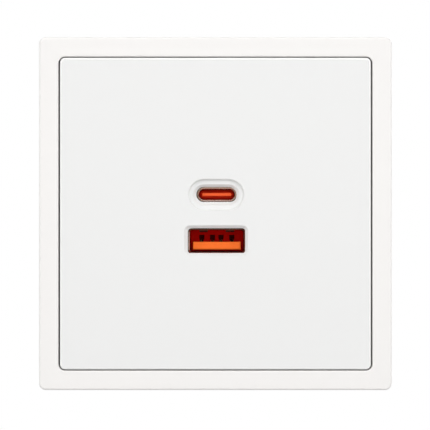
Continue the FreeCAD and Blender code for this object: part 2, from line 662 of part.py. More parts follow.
def usb_c_mouth():
    """The dished recess round the USB-C opening: a steep rim, a floor, a sloped mouth and a hole."""
    floor = PLATE_FRONT + DISH_DEPTH
    shell_x = USB_C_WIDTH / 2 + USB_C_SHELL_T
    shell_z = USB_C_HEIGHT / 2 + USB_C_SHELL_T
    lip_x = shell_x + USB_C_SIDE_GAP
    lip_z = shell_z + USB_C_TOP_GAP
    rim = rounded_funnel(slot_wire(DISH_WIDTH / 2, DISH_HEIGHT / 2, PLATE_FRONT),
                         slot_wire(DISH_WIDTH / 2 - DISH_SLOPE, DISH_HEIGHT / 2 - DISH_SLOPE, floor))
    mouth = rounded_funnel(slot_wire(lip_x + MOUTH_SLOPE, lip_z + MOUTH_SLOPE, floor),
                           slot_wire(lip_x, lip_z, USB_C_LIP))
    hole_z = shell_z + USB_C_SEAT_TOP
    hole = rounded_prism(shell_x + USB_C_SEAT_SIDE, hole_z, hole_z * SLOT_END, USB_C_LIP, PLATE_BACK,
                         RECEPTACLE_X, USB_C_SEAT_Z)
    return hole.fuse([rim, mouth])


# Support ring
def support_ring():
    """The sheet ring: its pressed middle carries the housings, its rim lies on the wall."""
    cut = RING_HALF - RING_CORNER_CUT
    points = [(RING_HALF, -cut), (RING_HALF, cut), (cut, RING_HALF), (-cut, RING_HALF)]
    points += [(-x, -z) for x, z in points]
    shape = outline_prism(points, RING_FRONT, 0)
    shape = shape.fuse(step_funnel(0.0, RING_FRONT)).cut(step_funnel(RING_T * math.tan(math.pi / 8), 0.0))
    depth = (SEAT_FRONT, 0)
    holes = [octagon(-LOOSE_GAP, *depth)]
    hole_x = HOUSING_X + LOOSE_GAP
    for side in (-1, 1):
        window = sorted((side * HOUSING_X, side * (hole_x + LUG_WIDTH)))
        holes.append(block(window, depth, around(0, LUG_INNER)))
        holes.append(rod(side * CLAW_SCREW_X, 0, CLAW_HOLE_R, *depth))
        holes.append(box_slot(side))
        notch = around(side * RING_HALF, NOTCH_DEPTH)
        middle = around(0, NOTCH_WIDTH / 2)
        holes.append(block(notch, depth, middle))
        holes.append(block(middle, depth, notch))
    for sx, sz in CORNERS:
        holes.append(rod(sx * WALL_HOLE_HALF, sz * WALL_HOLE_HALF, WALL_HOLE_R, *depth))
        screw_r = ASSEMBLY_SCREW_R + LOOSE_GAP
        holes.append(rod(sx * FASTENER_OFFSET, sz * FASTENER_Z, screw_r, *depth))
    shape = shape.cut(holes)
    return fuse([shape] + [lug(sx, sz) for sx, sz in CORNERS])


def step_funnel(inset, start):
    """The pressed middle's outline at one face of the sheet, sloping inwards by its own height."""
    wide = (STEP_X - inset, STEP_Z - inset, STEP_CORNER - inset, start)
    narrow = [size - RING_STEP for size in wide]
    return rounded_funnel(wide, narrow)


def box_slot(side):
    """An arc-shaped slot for a wall box screw, centred above or below the opening."""
    half = BOX_SLOT_WIDTH / 2
    middles = []
    for angle in (90 - BOX_SLOT_HALF_ANGLE, 90, 90 + BOX_SLOT_HALF_ANGLE):
        a = math.radians(angle)
        middles.append(vec(math.cos(a), 0, side * math.sin(a)))
    near = [m * (BOX_SCREW_RADIUS - half) + vec(0, RING_FRONT, 0) for m in middles]
    far = [m * (BOX_SCREW_RADIUS + half) + vec(0, RING_FRONT, 0) for m in middles]
    edges = [Part.Arc(*near).toShape(), Part.Arc(*far).toShape()]
    edges += [Part.makeLine(near[0], far[0]), Part.makeLine(near[2], far[2])]
    body = Part.Face(Part.Wire(Part.__sortEdges__(edges))).extrude(vec(0, RING_T, 0))
    ends = [m * BOX_SCREW_RADIUS for m in (middles[0], middles[2])]
    return body.fuse([rod(end.x, end.z, half, RING_FRONT, 0) for end in ends])


def lug(side_x, side_z):
    """A lug bent back from the ring's window, which carries one end of a claw's pivot."""
    low, high = sorted((side_z * LUG_INNER, side_z * (LUG_INNER + RING_T)))
    x = side_x * PIVOT_X
    arm = block(around(x, LUG_WIDTH / 2), (SEAT_FRONT, PIVOT_DEPTH), (low, high))
    end = Part.makeCylinder(LUG_WIDTH / 2, high - low, vec(x, PIVOT_DEPTH, low))
    hole_r = RIVET_R + PIVOT_GAP
    return arm.fuse(end).cut(Part.makeCylinder(hole_r, high - low, vec(x, PIVOT_DEPTH, low)))


# Housing
def front_housing():
    shape = octagon(0, CAP_FRONT, HOUSING_SPLIT)
    shape = shape.makeChamfer(CAP_CHAMFER, edges_at(shape, CAP_FRONT))
    shape = shape.cut(octagon(HOUSING_WALL, CAP_INSIDE, HOUSING_SPLIT))
    lip_start = HOUSING_SPLIT - LIP_ROOT
    lip = octagon(HOUSING_WALL, lip_start, HOUSING_SPLIT)
    lip = lip.fuse(octagon(HOUSING_WALL + FIT_GAP, lip_start, HOUSING_SPLIT + LIP_LENGTH))
    inner = octagon(HOUSING_WALL + FIT_GAP + LIP_T, lip_start, HOUSING_SPLIT + LIP_LENGTH)
    added = [lip.cut(inner)]
    for sx, sz in CORNERS:
        x = sx * POST_X
        z = sz * POST_Z
        added.append(rod(x, z, POST_R, CAP_INSIDE, PORT_BOARD_DEPTH))
        pin_end = PORT_BOARD_REAR + POST_PIN_LENGTH
        added.append(rod(x, z, POST_PIN_R, PORT_BOARD_DEPTH, pin_end))
        added.append(rod(sx * FASTENER_OFFSET, sz * FASTENER_Z, BOSS_R,
                         SEAT_FRONT - EAR_BOSS_LENGTH, SEAT_FRONT))
    added += [ear(side) for side in (-1, 1)]
    pilots = []
    for sx, sz in CORNERS:
        pilots.append(rod(sx * FASTENER_OFFSET, sz * FASTENER_Z, ASSEMBLY_SCREW_R + PIVOT_GAP,
                          SEAT_FRONT - ASSEMBLY_BITE, SEAT_FRONT))
    holes = pilots + snap_windows()
    holes.append(usb_a_hole(PORT_GAP, CAP_FRONT, CAP_INSIDE))
    holes.append(usb_c_hole(PORT_GAP, CAP_FRONT, CAP_INSIDE))
    return fuse([shape] + added).cut(holes).removeSplitter()


def ear(side):
    """The wing that rests on the ring and holds two screw bosses."""
    half = FASTENER_OFFSET + BOSS_R
    inner = HOUSING_Z - HOUSING_WALL / 2
    outer = FASTENER_Z + BOSS_R - EAR_MARGIN
    z = sorted((side * inner, side * outer))
    return block(around(0, half), (SEAT_FRONT - EAR_T, SEAT_FRONT), z)


def snap_windows():
    """Side windows that the plate's hooks click into."""
    depth = (SNAP_TIP - SNAP_HOOK_LENGTH - LOOSE_GAP, SNAP_TIP + LOOSE_GAP)
    windows = []
    for sx, sz in CORNERS:
        x = sorted((sx * HOUSING_X, sx * (HOUSING_X - HOUSING_WALL)))
        z = around(sz * SNAP_LEG_OFFSET, SNAP_LEG_WIDTH / 2 + LOOSE_GAP)
        windows.append(block(x, depth, z))
    return windows


def rear_housing():
    shape = octagon(0, HOUSING_SPLIT, CUP_REAR)
    shape = shape.makeChamfer(CUP_CHAMFER, edges_at(shape, CUP_REAR))
    shape = shape.cut(octagon(HOUSING_WALL, HOUSING_SPLIT, CUP_INSIDE))
    added = []
    holes = []
    for sx, sz in CORNERS:
        x = sx * FASTENER_OFFSET
        web_x = around(x, BOSS_R)
        web_z = sorted((sz * (HOUSING_Z - HOUSING_WALL / 2), sz * FASTENER_Z))
        added.append(block(web_x, (HOUSING_SPLIT, BOSS_LENGTH), web_z))
        added.append(rod(x, sz * FASTENER_Z, BOSS_R, SEAT_BACK, BOSS_LENGTH))
        holes.append(rod(x, sz * FASTENER_Z, ASSEMBLY_SCREW_R + FIT_GAP, SEAT_BACK, BOSS_LENGTH))
    added += outer_ribs(-1) + outer_ribs(1)
    for x, z in board_posts():
        added.append(rod(x, z, FLOOR_POST_R, POWER_BOARD_REAR, CUP_INSIDE))
        added.append(rod(x, z, POST_PIN_R, POWER_BOARD_FRONT - POST_PIN_LENGTH, POWER_BOARD_REAR))
    for side in (-1, 1):
        grow = FIT_GAP - TERMINAL_SHOULDER
        holes.append(terminal_body(side, grow, CUP_INSIDE, CUP_REAR))
    return fuse([shape] + added).cut(holes + rear_marks()).removeSplitter()


def outer_ribs(side):
    """Stiffening ribs along the housing's top or bottom wall, between the screw bosses."""
    base = side * (HOUSING_Z - HOUSING_WALL / 2)
    foot = side * HOUSING_Z
    crest = foot + side * HOUSING_RIB_HEIGHT
    start = HOUSING_SPLIT + HOUSING_RIB_INSET
    end = CUP_REAR - HOUSING_RIB_INSET
    outline = [(start, base), (start, foot), (start + HOUSING_RIB_HEIGHT, crest)]
    outline += [(end - HOUSING_RIB_HEIGHT, crest), (end, foot), (end, base)]
    ribs = []
    for i in range(HOUSING_RIBS):
        middle = (i - (HOUSING_RIBS - 1) / 2) * HOUSING_RIB_PITCH
        ribs.append(rib_prism(outline, *around(middle, HOUSING_RIB_T / 2)))
    return ribs


def rear_marks():
    """Cuts in the rear wall: the stripping gauge, a shallow bare recess and the gate's mark in it."""
    gauge_z = TERMINAL_TOP + GAUGE_SPACE + GAUGE_WIDTH / 2
    half = GAUGE_LENGTH / 2
    groove = block(around(0, half), (CUP_REAR - GAUGE_DEPTH, CUP_REAR), around(gauge_z, GAUGE_WIDTH / 2))
    notch_x = (half - GAUGE_WIDTH / 2, half)
    notch = block(notch_x, (CUP_REAR - GAUGE_DEPTH - GAUGE_STEP, CUP_REAR), around(gauge_z, GAUGE_WIDTH / 2))
    low = gauge_z + GAUGE_WIDTH / 2 + PANEL_SPACE
    high = HOUSING_Z - PANEL_MARGIN
    floor = CUP_REAR - PANEL_DEPTH
    middle = (low + high) / 2
    panel = rounded_prism(HOUSING_X - PANEL_MARGIN, (high - low) / 2, PANEL_CORNER, floor, CUP_REAR,
                          0.0, middle)
    gate = rod(0, middle, GATE_R, floor - GATE_DEPTH, floor)
    gate = gate.cut(rod(0, middle, GATE_NUB_R, floor - GATE_DEPTH, floor))
    return [groove, notch, panel, gate]


def board_posts():
    """Places of the rear housing's posts, at the power board's side edges."""
    x = BOARD_X - FLOOR_POST_R - PART_MARGIN / 2
    return [(-x, LEFT_POST_Z), (x, RIGHT_POST_Z), (-x, LOW_POST_Z), (x, LOW_POST_Z)]


def assembly_screws():
    length = BOSS_LENGTH + RING_STEP + RING_T + ASSEMBLY_BITE - FIT_GAP
    pattern = screw(ASSEMBLY_SCREW_R, length, ASSEMBLY_HEAD_R, ASSEMBLY_HEAD_T)
    places = [(sx * FASTENER_OFFSET, sz * FASTENER_Z) for sx, sz in CORNERS]
    return Part.makeCompound([placed(pattern, x, BOSS_LENGTH, z, 180) for x, z in places])


# Claws
def claw_web_slot():
    """The web slot's ends from the pivot, long enough for the screw at rest and at full spread."""
    a = math.radians(CLAW_SPREAD)
    web_back = CLAW_WEB_DEPTH + CLAW_SHEET
    offset = CLAW_SCREW_X - PIVOT_X
    near_side = offset - CLAW_SCREW_R
    depth = (web_back - near_side * math.sin(a)) / math.cos(a)
    near = near_side * math.cos(a) - depth * math.sin(a) - CLAW_SLOT_GAP
    far = offset + CLAW_SCREW_R + CLAW_SLOT_GAP
    return near, far


def claw_outline():
    """A cheek's outline from its pivot: the arm, the toothed end and the arm to the screw."""
    back = CLAW_WEB_DEPTH + CLAW_SHEET
    root = TOOTH_REACH - TOOTH_DEPTH
    points = [(-CLAW_HEEL[0], CLAW_HEEL[1]), (-CLAW_WAIST[0], CLAW_WAIST[1]), (CLAW_TIP, CLAW_LENGTH)]
    for i in range(TOOTH_COUNT):
        y = CLAW_LENGTH - i * TOOTH_PITCH
        points += [(TOOTH_REACH, y - TOOTH_CREST * TOOTH_PITCH), (root, y - TOOTH_ROOT * TOOTH_PITCH)]
    points += [(CLAW_BOSS_R, CLAW_THROAT), (CLAW_KNEE[0], back + CLAW_KNEE[1])]
    points += [(CLAW_WEB_END, back), (CLAW_WEB_END, CLAW_WEB_DEPTH)]
    points += [(CLAW_BOSS_R, -CLAW_TOE), (0.0, CLAW_TOE - CLAW_BOSS_R)]
    return points


def claw(side):
    """A claw: two toothed cheeks joined by a slotted web that the screw draws forwards."""
    outline = [(side * (PIVOT_X + x), PIVOT_DEPTH + y) for x, y in claw_outline()]
    pivot_x = side * PIVOT_X
    pieces = []
    holes = []
    for low in (-CHEEK_OUTER, CLAW_INNER_HALF):
        pieces.append(side_prism(outline, low, low + CLAW_SHEET))
        boss_place = vec(pivot_x, PIVOT_DEPTH, low)
        pieces.append(Part.makeCylinder(CLAW_BOSS_R, CLAW_SHEET, boss_place))
        holes.append(Part.makeCylinder(RIVET_R + PIVOT_GAP, CLAW_SHEET, boss_place))
    web_x = sorted((side * (PIVOT_X + CLAW_WEB_START), side * (PIVOT_X + CLAW_WEB_END)))
    web_y = (PIVOT_DEPTH + CLAW_WEB_DEPTH, PIVOT_DEPTH + CLAW_WEB_DEPTH + CLAW_SHEET)
    pieces.append(block(web_x, web_y, around(0, CLAW_INNER_HALF)))
    near, far = claw_web_slot()
    slot_r = CLAW_SCREW_R + CLAW_SLOT_GAP
    middle = side * (PIVOT_X + (near + far) / 2)
    holes.append(rounded_prism((far - near) / 2, slot_r, slot_r * SLOT_END, *web_y, middle, 0.0))
    return fuse(pieces).cut(holes).removeSplitter()


def claw_rivets():
    """Four rivets, one through each cheek and its lug, with a head at both ends."""
    shapes = []
    inner = CLAW_INNER_HALF - PIVOT_GAP
    outer = LUG_INNER + RING_T + PIVOT_GAP
    for sx, sz in CORNERS:
        x = sx * PIVOT_X
        parts = []
        spans = [(RIVET_R, inner - RIVET_HEAD_T, outer + RIVET_HEAD_T)]
        spans += [(RIVET_HEAD_R, inner - RIVET_HEAD_T, inner), (RIVET_HEAD_R, outer, outer + RIVET_HEAD_T)]
        for r, start, end in spans:
            low = min(sz * start, sz * end)
            parts.append(Part.makeCylinder(r, end - start, vec(x, PIVOT_DEPTH, low)))
        shapes.append(fuse(parts))
    return Part.makeCompound(shapes)


def claw_screw(side):
    pattern = screw(CLAW_SCREW_R, CLAW_SCREW_LENGTH, CLAW_SCREW_HEAD_R, CLAW_SCREW_HEAD_T)
    return placed(pattern, side * CLAW_SCREW_X, SEAT_FRONT, 0)


# Ports
def usb_a_shell():
    """The folded shell: a flared mouth, two spring fingers in its top wall, and tabs to the board."""
    front, back = USB_A_FRONT, PORT_BOARD_DEPTH
    half_x = USB_A_WIDTH / 2
    half_z = USB_A_HEIGHT / 2
    place = (RECEPTACLE_X, USB_A_SEAT_Z)
    inner = rounded_prism(half_x, half_z, USB_A_CORNER, front, back, *place)
    wide = [size + USB_A_LEAD_IN for size in (half_x, half_z, USB_A_CORNER)]
    lead_in_back = front + USB_A_LEAD_IN_DEPTH
    lead_in = rounded_funnel((*wide, front, *place), (half_x, half_z, USB_A_CORNER, lead_in_back, *place))
    left = RECEPTACLE_X - half_x
    flank = side_prism([(left, front), (left - USB_A_FLANK, front), (left, front + USB_A_FLANK_DEPTH)],
                       *around(USB_A_SEAT_Z, half_z - USB_A_CORNER))
    shape = usb_a_hole(0.0, front, back).cut([inner, lead_in, flank])
    start = front + FINGER_START
    end = start + FINGER_LENGTH
    bend = start + FINGER_BEND
    wall = USB_A_SEAT_Z + half_z
    outer = wall + USB_A_SHELL_T
    tip = wall - FINGER_REACH
    points = [(end, outer), (end, wall), (bend, tip), (start + FIT_GAP, wall - FINGER_NOSE), (start, wall)]
    points += [(start + FIT_GAP, outer), (bend, tip + USB_A_SHELL_T)]
    windows = []
    fingers = []
    for sx in (-1, 1):
        middle = RECEPTACLE_X + sx * FINGER_X
        gap_x = around(middle, FINGER_WIDTH / 2 + FINGER_GAP)
        windows.append(block(gap_x, (start - FINGER_GAP, end), (wall - FIT_GAP, outer + FIT_GAP)))
        fingers.append(rib_prism(points, *around(middle, FINGER_WIDTH / 2)))
    tabs = [block(*span) for span in usb_a_tabs(0.0)]
    return fuse([shape.cut(windows)] + fingers + tabs)


def usb_a_tabs(grow):
    """Spans of the four shell tabs that pass the port board."""
    spans = []
    for sx in (-1, 1):
        wall = sorted((sx * USB_A_WIDTH / 2, sx * (USB_A_WIDTH / 2 + USB_A_SHELL_T)))
        x = (RECEPTACLE_X + wall[0] - grow, RECEPTACLE_X + wall[1] + grow)
        for sz in (-1, 1):
            z = around(USB_A_SEAT_Z + sz * USB_A_HEIGHT / 4, USB_A_HEIGHT / 8 + grow)
            spans.append((x, (PORT_BOARD_DEPTH - grow, PORT_BOARD_REAR + LEAD_LENGTH), z))
    return spans


def usb_a_insulator():
    """The moulding behind the port: a back wall with contact channels, and the tongue."""
    half_x = USB_A_WIDTH / 2 - FIT_GAP
    half_z = USB_A_HEIGHT / 2 - FIT_GAP
    place = (RECEPTACLE_X, USB_A_SEAT_Z)
    base = rounded_prism(half_x, half_z, USB_A_CORNER, USB_A_BACK, PORT_BOARD_DEPTH, *place)
    top = USB_A_TONGUE_TOP
    front = USB_A_FRONT + USB_A_TONGUE_RECESS
    across = around(RECEPTACLE_X, USB_A_TONGUE_HALF)
    tongue = block(across, (front, USB_A_BACK), (top - USB_A_TONGUE_T, top))
    tongue = tongue.makeChamfer(USB_A_TONGUE_EDGE, edges_at(tongue, front))
    holes = [contact_path(x, FIT_GAP / 2) for x in USB_A_CONTACT_X]
    channel_low = top + USB_A_CHANNEL_RISE
    for x in USB_A_CONTACT_X:
        depth = (USB_A_BACK, USB_A_BACK + USB_A_CHANNEL_DEPTH)
        channel = (channel_low, channel_low + USB_A_CHANNEL_HEIGHT)
        width = around(RECEPTACLE_X + x, USB_A_CONTACT_WIDTH / 2 + USB_A_CHANNEL_GAP)
        holes.append(block(width, depth, channel))
    return fuse([base, tongue]).cut(holes).removeSplitter()


def contact_path(x, grow):
    """One USB-A contact, from the tongue's top through the back wall to the port board."""
    start = USB_A_FRONT + USB_A_TONGUE_RECESS + USB_A_CONTACT_START
    width = around(RECEPTACLE_X + x, USB_A_CONTACT_WIDTH / 2 - FIT_GAP + grow)
    height = around(USB_A_TONGUE_TOP - USB_A_CONTACT_T / 2, USB_A_CONTACT_T / 2 + grow)
    return block(width, (start - grow, PORT_BOARD_REAR + LEAD_LENGTH), height)


def usb_a_contacts():
    """Four contacts, each with a raised bow on the tongue."""
    shapes = []
    foot = USB_A_TONGUE_TOP - FIT_GAP
    crown = USB_A_TONGUE_TOP + BOW_HEIGHT
    start = USB_A_FRONT + USB_A_TONGUE_RECESS + USB_A_CONTACT_START
    crown_start = start + BOW_RISE_LENGTH
    crown_end = crown_start + BOW_TOP_LENGTH
    bow = [(start, foot), (crown_start, crown), (crown_end, crown), (crown_end + BOW_FALL_LENGTH, foot)]
    for x in USB_A_CONTACT_X:
        hump = rib_prism(bow, *around(RECEPTACLE_X + x, USB_A_CONTACT_WIDTH / 2 - FIT_GAP))
        shapes.append(fuse([contact_path(x, 0.0), hump]))
    return Part.makeCompound(shapes)


def usb_c_shell():
    """The drawn shell, flared and rounded at its mouth, with a tab to the board at each side."""
    front, back = USB_C_FRONT, PORT_BOARD_DEPTH
    half_z = USB_C_HEIGHT / 2
    half_x = USB_C_WIDTH / 2
    place = (RECEPTACLE_X, USB_C_SEAT_Z)
    shape = usb_c_hole(0.0, front, back)
    shape = shape.makeFillet(USB_C_SHELL_ROUND, edges_at(shape, front))
    inner = rounded_prism(half_x, half_z, half_z * SLOT_END, front, back, *place)
    wide_z = half_z + USB_C_LEAD_IN
    lead_in = rounded_funnel((half_x + USB_C_LEAD_IN, wide_z, wide_z * SLOT_END, front, *place),
                             (half_x, half_z, half_z * SLOT_END, front + USB_C_LEAD_IN, *place))
    shape = shape.cut([inner, lead_in])
    return fuse([shape] + [block(*span) for span in usb_c_tabs(0.0)])


def usb_c_tabs(grow):
    spans = []
    for sx in (-1, 1):
        wall = sorted((sx * USB_C_WIDTH / 2, sx * (USB_C_WIDTH / 2 + USB_C_SHELL_T)))
        x = (RECEPTACLE_X + wall[0] - grow, RECEPTACLE_X + wall[1] + grow)
        z = around(USB_C_SEAT_Z, USB_C_HEIGHT / 4 + grow)
        spans.append((x, (PORT_BOARD_DEPTH - grow, PORT_BOARD_REAR + LEAD_LENGTH), z))
    return spans


def usb_c_insulator():
    """The moulding behind the port, with a collar and the thin tongue that the plug goes over."""
    half_z = USB_C_HEIGHT / 2 - FIT_GAP
    half_x = USB_C_WIDTH / 2 - FIT_GAP
    place = (RECEPTACLE_X, USB_C_SEAT_Z)
    base = rounded_prism(half_x, half_z, half_z * SLOT_END, USB_C_BACK, PORT_BOARD_DEPTH, *place)
    collar_x = USB_C_WIDTH / 2 - USB_C_COLLAR_GAP
    collar_z = USB_C_HEIGHT / 2 - USB_C_COLLAR_GAP
    collar_front = USB_C_BACK - USB_C_COLLAR_LENGTH
    collar = rounded_prism(collar_x, collar_z, collar_z * SLOT_END, collar_front, USB_C_BACK, *place)
    collar = collar.makeChamfer(USB_C_COLLAR_EDGE, edges_at(collar, collar_front))
    front = USB_C_FRONT + USB_C_TONGUE_RECESS
    tongue = rounded_prism(USB_C_TONGUE_HALF, USB_C_TONGUE_T / 2, USB_C_TONGUE_CORNER,
                           front, USB_C_BACK, *place)
    tongue = tongue.makeChamfer(USB_C_TONGUE_EDGE, edges_at(tongue, front))
    return fuse([base, collar, tongue]).cut([usb_c_mid_plate(), usb_c_contacts()])


def usb_c_mid_plate():
    """The steel plate in the middle of the tongue."""
    front = USB_C_FRONT + USB_C_TONGUE_RECESS + USB_C_PLATE_START
    return block(around(RECEPTACLE_X, USB_C_TONGUE_HALF), (front, USB_C_BACK - USB_C_COLLAR_LENGTH),
                 around(USB_C_SEAT_Z, USB_C_PLATE_T / 2))


def usb_c_contacts():
    """Two rows of contacts, flush with the tongue's faces."""
    shapes = []
    start = USB_C_FRONT + USB_C_TONGUE_RECESS + USB_C_CONTACT_START
    end = USB_C_BACK - USB_C_COLLAR_LENGTH
    for sz in (-1, 1):
        face = USB_C_SEAT_Z + sz * USB_C_TONGUE_T / 2
        z = sorted((face, face - sz * USB_C_CONTACT_T))
        for i in range(USB_C_CONTACTS):
            x = RECEPTACLE_X + (i - (USB_C_CONTACTS - 1) / 2) * USB_C_CONTACT_PITCH
            shapes.append(block(around(x, USB_C_CONTACT_WIDTH / 2), (start, end), z))
    return Part.makeCompound(shapes)


# Boards
def port_board():
    shape = octagon(BOARD_INSET, PORT_BOARD_DEPTH, PORT_BOARD_REAR)
    holes = [link_pin(x, FIT_GAP) for x in LINK_PINS]
    for sx, sz in CORNERS:
        hole_r = POST_PIN_R + FIT_GAP
        holes.append(rod(sx * POST_X, sz * POST_Z, hole_r, PORT_BOARD_DEPTH, PORT_BOARD_REAR))
    for span in usb_a_tabs(FIT_GAP) + usb_c_tabs(FIT_GAP):
        holes.append(block(*span))
    holes += [contact_path(x, FIT_GAP) for x in USB_A_CONTACT_X]
    return shape.cut(holes)


def power_board():
    shape = octagon(BOARD_INSET, POWER_BOARD_FRONT, POWER_BOARD_REAR)
    below = block(around(0, HOUSING_X), (POWER_BOARD_FRONT, POWER_BOARD_REAR), (-HOUSING_Z, POWER_BOARD_LOW))
    holes = [below] + [link_pin(x, FIT_GAP) for x in LINK_PINS]
    for x, z in board_posts():
        holes.append(rod(x, z, POST_PIN_R + FIT_GAP, POWER_BOARD_FRONT, POWER_BOARD_REAR))
    for points in lead_places().values():
        holes += lead_holes(points, LEAD_R)
    for side in (-1, 1):
        holes.append(contact_tail(side, FIT_GAP))
    for x, z in opto_legs():
        holes.append(block(around(x, CHIP_LEG[0] / 2 + FIT_GAP), (POWER_BOARD_FRONT, POWER_BOARD_REAR),
                           around(z, CHIP_LEG[1] / 2 + FIT_GAP)))
    return shape.cut(holes)


def link_pin(x, grow):
    half = PIN_SIDE / 2 + grow
    ends = (PORT_BOARD_DEPTH - LEAD_LENGTH, POWER_BOARD_REAR + LEAD_LENGTH)
    return block(around(x, half), ends, around(LINK_Z, half))


def link_pins():
    return Part.makeCompound([link_pin(x, 0.0) for x in LINK_PINS])


def link_header():
    half = PIN_COUNT * PIN_PITCH / 2
    body = block(around(0, half), (PORT_BOARD_REAR, PORT_BOARD_REAR + HEADER_T), around(LINK_Z, HEADER_T / 2))
    return body.cut([link_pin(x, 0.0) for x in LINK_PINS])


# Components on the power board
def lead_places():
    """Where each component's round leads pass the power board."""
    middles = {"choke": (LEFT_COLUMN, CHOKE_Z), "x": (X_CAPACITOR_X, BOTTOM_ROW)}
    middles["varistor"] = (VARISTOR_X, BOTTOM_ROW)
    middles["y"] = (TRANSFORMER_X, Y_CAPACITOR_Z)
    places = {name: lead_pair(name, *middle) for name, middle in middles.items()}
    places["input"] = []
    places["output"] = []
    for i in range(2):
        places["input"] += lead_pair("input", LEFT_COLUMN, CAPACITOR_IN_Z + i * CAPACITOR_IN_PITCH)
        places["output"] += lead_pair("output", RIGHT_COLUMN, CAPACITOR_OUT_Z + i * CAPACITOR_OUT_PITCH)
    places["fuse"] = [(RIGHT_COLUMN, FUSE_Z - FUSE_REACH), (RIGHT_COLUMN, FUSE_Z + FUSE_REACH)]
    places["transformer"] = []
    for i in range(BOBBIN_PINS):
        x = TRANSFORMER_X + (i - (BOBBIN_PINS - 1) / 2) * BOBBIN_PIN_PITCH
        for sz in (-1, 1):
            places["transformer"].append((x, TRANSFORMER_Z + sz * (BOBBIN_HALF - BOBBIN_PIN_INSET)))
    return places


def lead_pair(name, x, z):
    half = LEAD_PITCH[name] / 2
    return [(x - half, z), (x + half, z)]


def electrolytic(x, z, r, height, points):
    """A can with a crimped neck near the board and two leads."""
    front = POWER_BOARD_FRONT - height
    can = rod(x, z, r, front, POWER_BOARD_FRONT)
    can = can.makeFillet(r * CAN_ROUND, edges_at(can, front))
    neck = [POWER_BOARD_FRONT - place for place in CRIMP_PLACE]
    groove = rod(x, z, r, *neck).cut(rod(x, z, r - CRIMP_DEPTH, *neck))
    return fuse([can.cut(groove)] + leads(points, POWER_BOARD_FRONT))


def input_capacitors():
    points = lead_places()["input"]
    cans = []
    for i in range(2):
        z = CAPACITOR_IN_Z + i * CAPACITOR_IN_PITCH
        pair = points[2 * i:2 * i + 2]
        cans.append(electrolytic(LEFT_COLUMN, z, CAPACITOR_IN_R, CAPACITOR_IN_H, pair))
    return Part.makeCompound(cans)


def output_capacitors():
    points = lead_places()["output"]
    cans = []
    for i in range(2):
        z = CAPACITOR_OUT_Z + i * CAPACITOR_OUT_PITCH
        pair = points[2 * i:2 * i + 2]
        cans.append(electrolytic(RIGHT_COLUMN, z, CAPACITOR_OUT_R, CAPACITOR_OUT_H, pair))
    return Part.makeCompound(cans)


def choke_core():
    front = POWER_BOARD_FRONT - CHOKE_H
    ends = [rod(LEFT_COLUMN, CHOKE_Z, CHOKE_R, front, front + CHOKE_FLANGE_T)]
    ends.append(rod(LEFT_COLUMN, CHOKE_Z, CHOKE_R, POWER_BOARD_FRONT - CHOKE_FLANGE_T, POWER_BOARD_FRONT))
    post = rod(LEFT_COLUMN, CHOKE_Z, CHOKE_POST_R, front, POWER_BOARD_FRONT)
    return fuse(ends + [post] + leads(lead_places()["choke"], POWER_BOARD_FRONT))


def choke_winding():
    front = POWER_BOARD_FRONT - CHOKE_H + CHOKE_FLANGE_T
    back = POWER_BOARD_FRONT - CHOKE_FLANGE_T
    outer = rod(LEFT_COLUMN, CHOKE_Z, CHOKE_WIRE_R, front, back)
    return outer.cut(rod(LEFT_COLUMN, CHOKE_Z, CHOKE_POST_R, front, back))


def transformer_span():
    """The core's front and back, and its windows' front and back."""
    back = POWER_BOARD_FRONT - BOBBIN_BASE_T
    front = back - CORE_HEIGHT
    return front, back, front + CORE_LEG, back - CORE_LEG


def transformer_core():
    front, back, window_front, window_back = transformer_span()
    half = CORE_WIDTH / 2
    thick = around(TRANSFORMER_Z, CORE_T / 2)
    body = block(around(TRANSFORMER_X, half), (front, back), thick)
    windows = []
    for side in (-1, 1):
        x = sorted((TRANSFORMER_X + side * CORE_LEG, TRANSFORMER_X + side * (half - CORE_LEG)))
        windows.append(block(x, (window_front, window_back), thick))
    return body.cut(windows)


def transformer_bobbin():
    front, back, window_front, window_back = transformer_span()
    flange_x = around(TRANSFORMER_X, CORE_WIDTH / 2 - CORE_LEG - FIT_GAP)
    flange_z = around(TRANSFORMER_Z, BOBBIN_HALF)
    hole_x = around(TRANSFORMER_X, CORE_LEG + FIT_GAP)
    hole_z = around(TRANSFORMER_Z, CORE_T / 2 + FIT_GAP)
    tube = (window_front + FIT_GAP, window_back - FIT_GAP)
    outer_x = around(TRANSFORMER_X, CORE_LEG + FIT_GAP + BOBBIN_WALL)
    outer_z = around(TRANSFORMER_Z, CORE_T / 2 + FIT_GAP + BOBBIN_WALL)
    pieces = [block(outer_x, tube, outer_z)]
    pieces.append(block(flange_x, (tube[0], tube[0] + BOBBIN_WALL), flange_z))
    pieces.append(block(flange_x, (tube[1] - BOBBIN_WALL, tube[1]), flange_z))
    bored = fuse(pieces).cut(block(hole_x, tube, hole_z))
    base_x = around(TRANSFORMER_X, BOBBIN_BASE_WIDTH / 2)
    base = block(base_x, (back, POWER_BOARD_FRONT), flange_z)
    walls = []
    for side in (-1, 1):
        z = sorted((TRANSFORMER_Z + side * (CORE_T / 2 + FIT_GAP), TRANSFORMER_Z + side * BOBBIN_HALF))
        walls.append(block(flange_x, (tube[1], back), z))
    return fuse([bored, base] + walls + leads(lead_places()["transformer"], POWER_BOARD_FRONT))


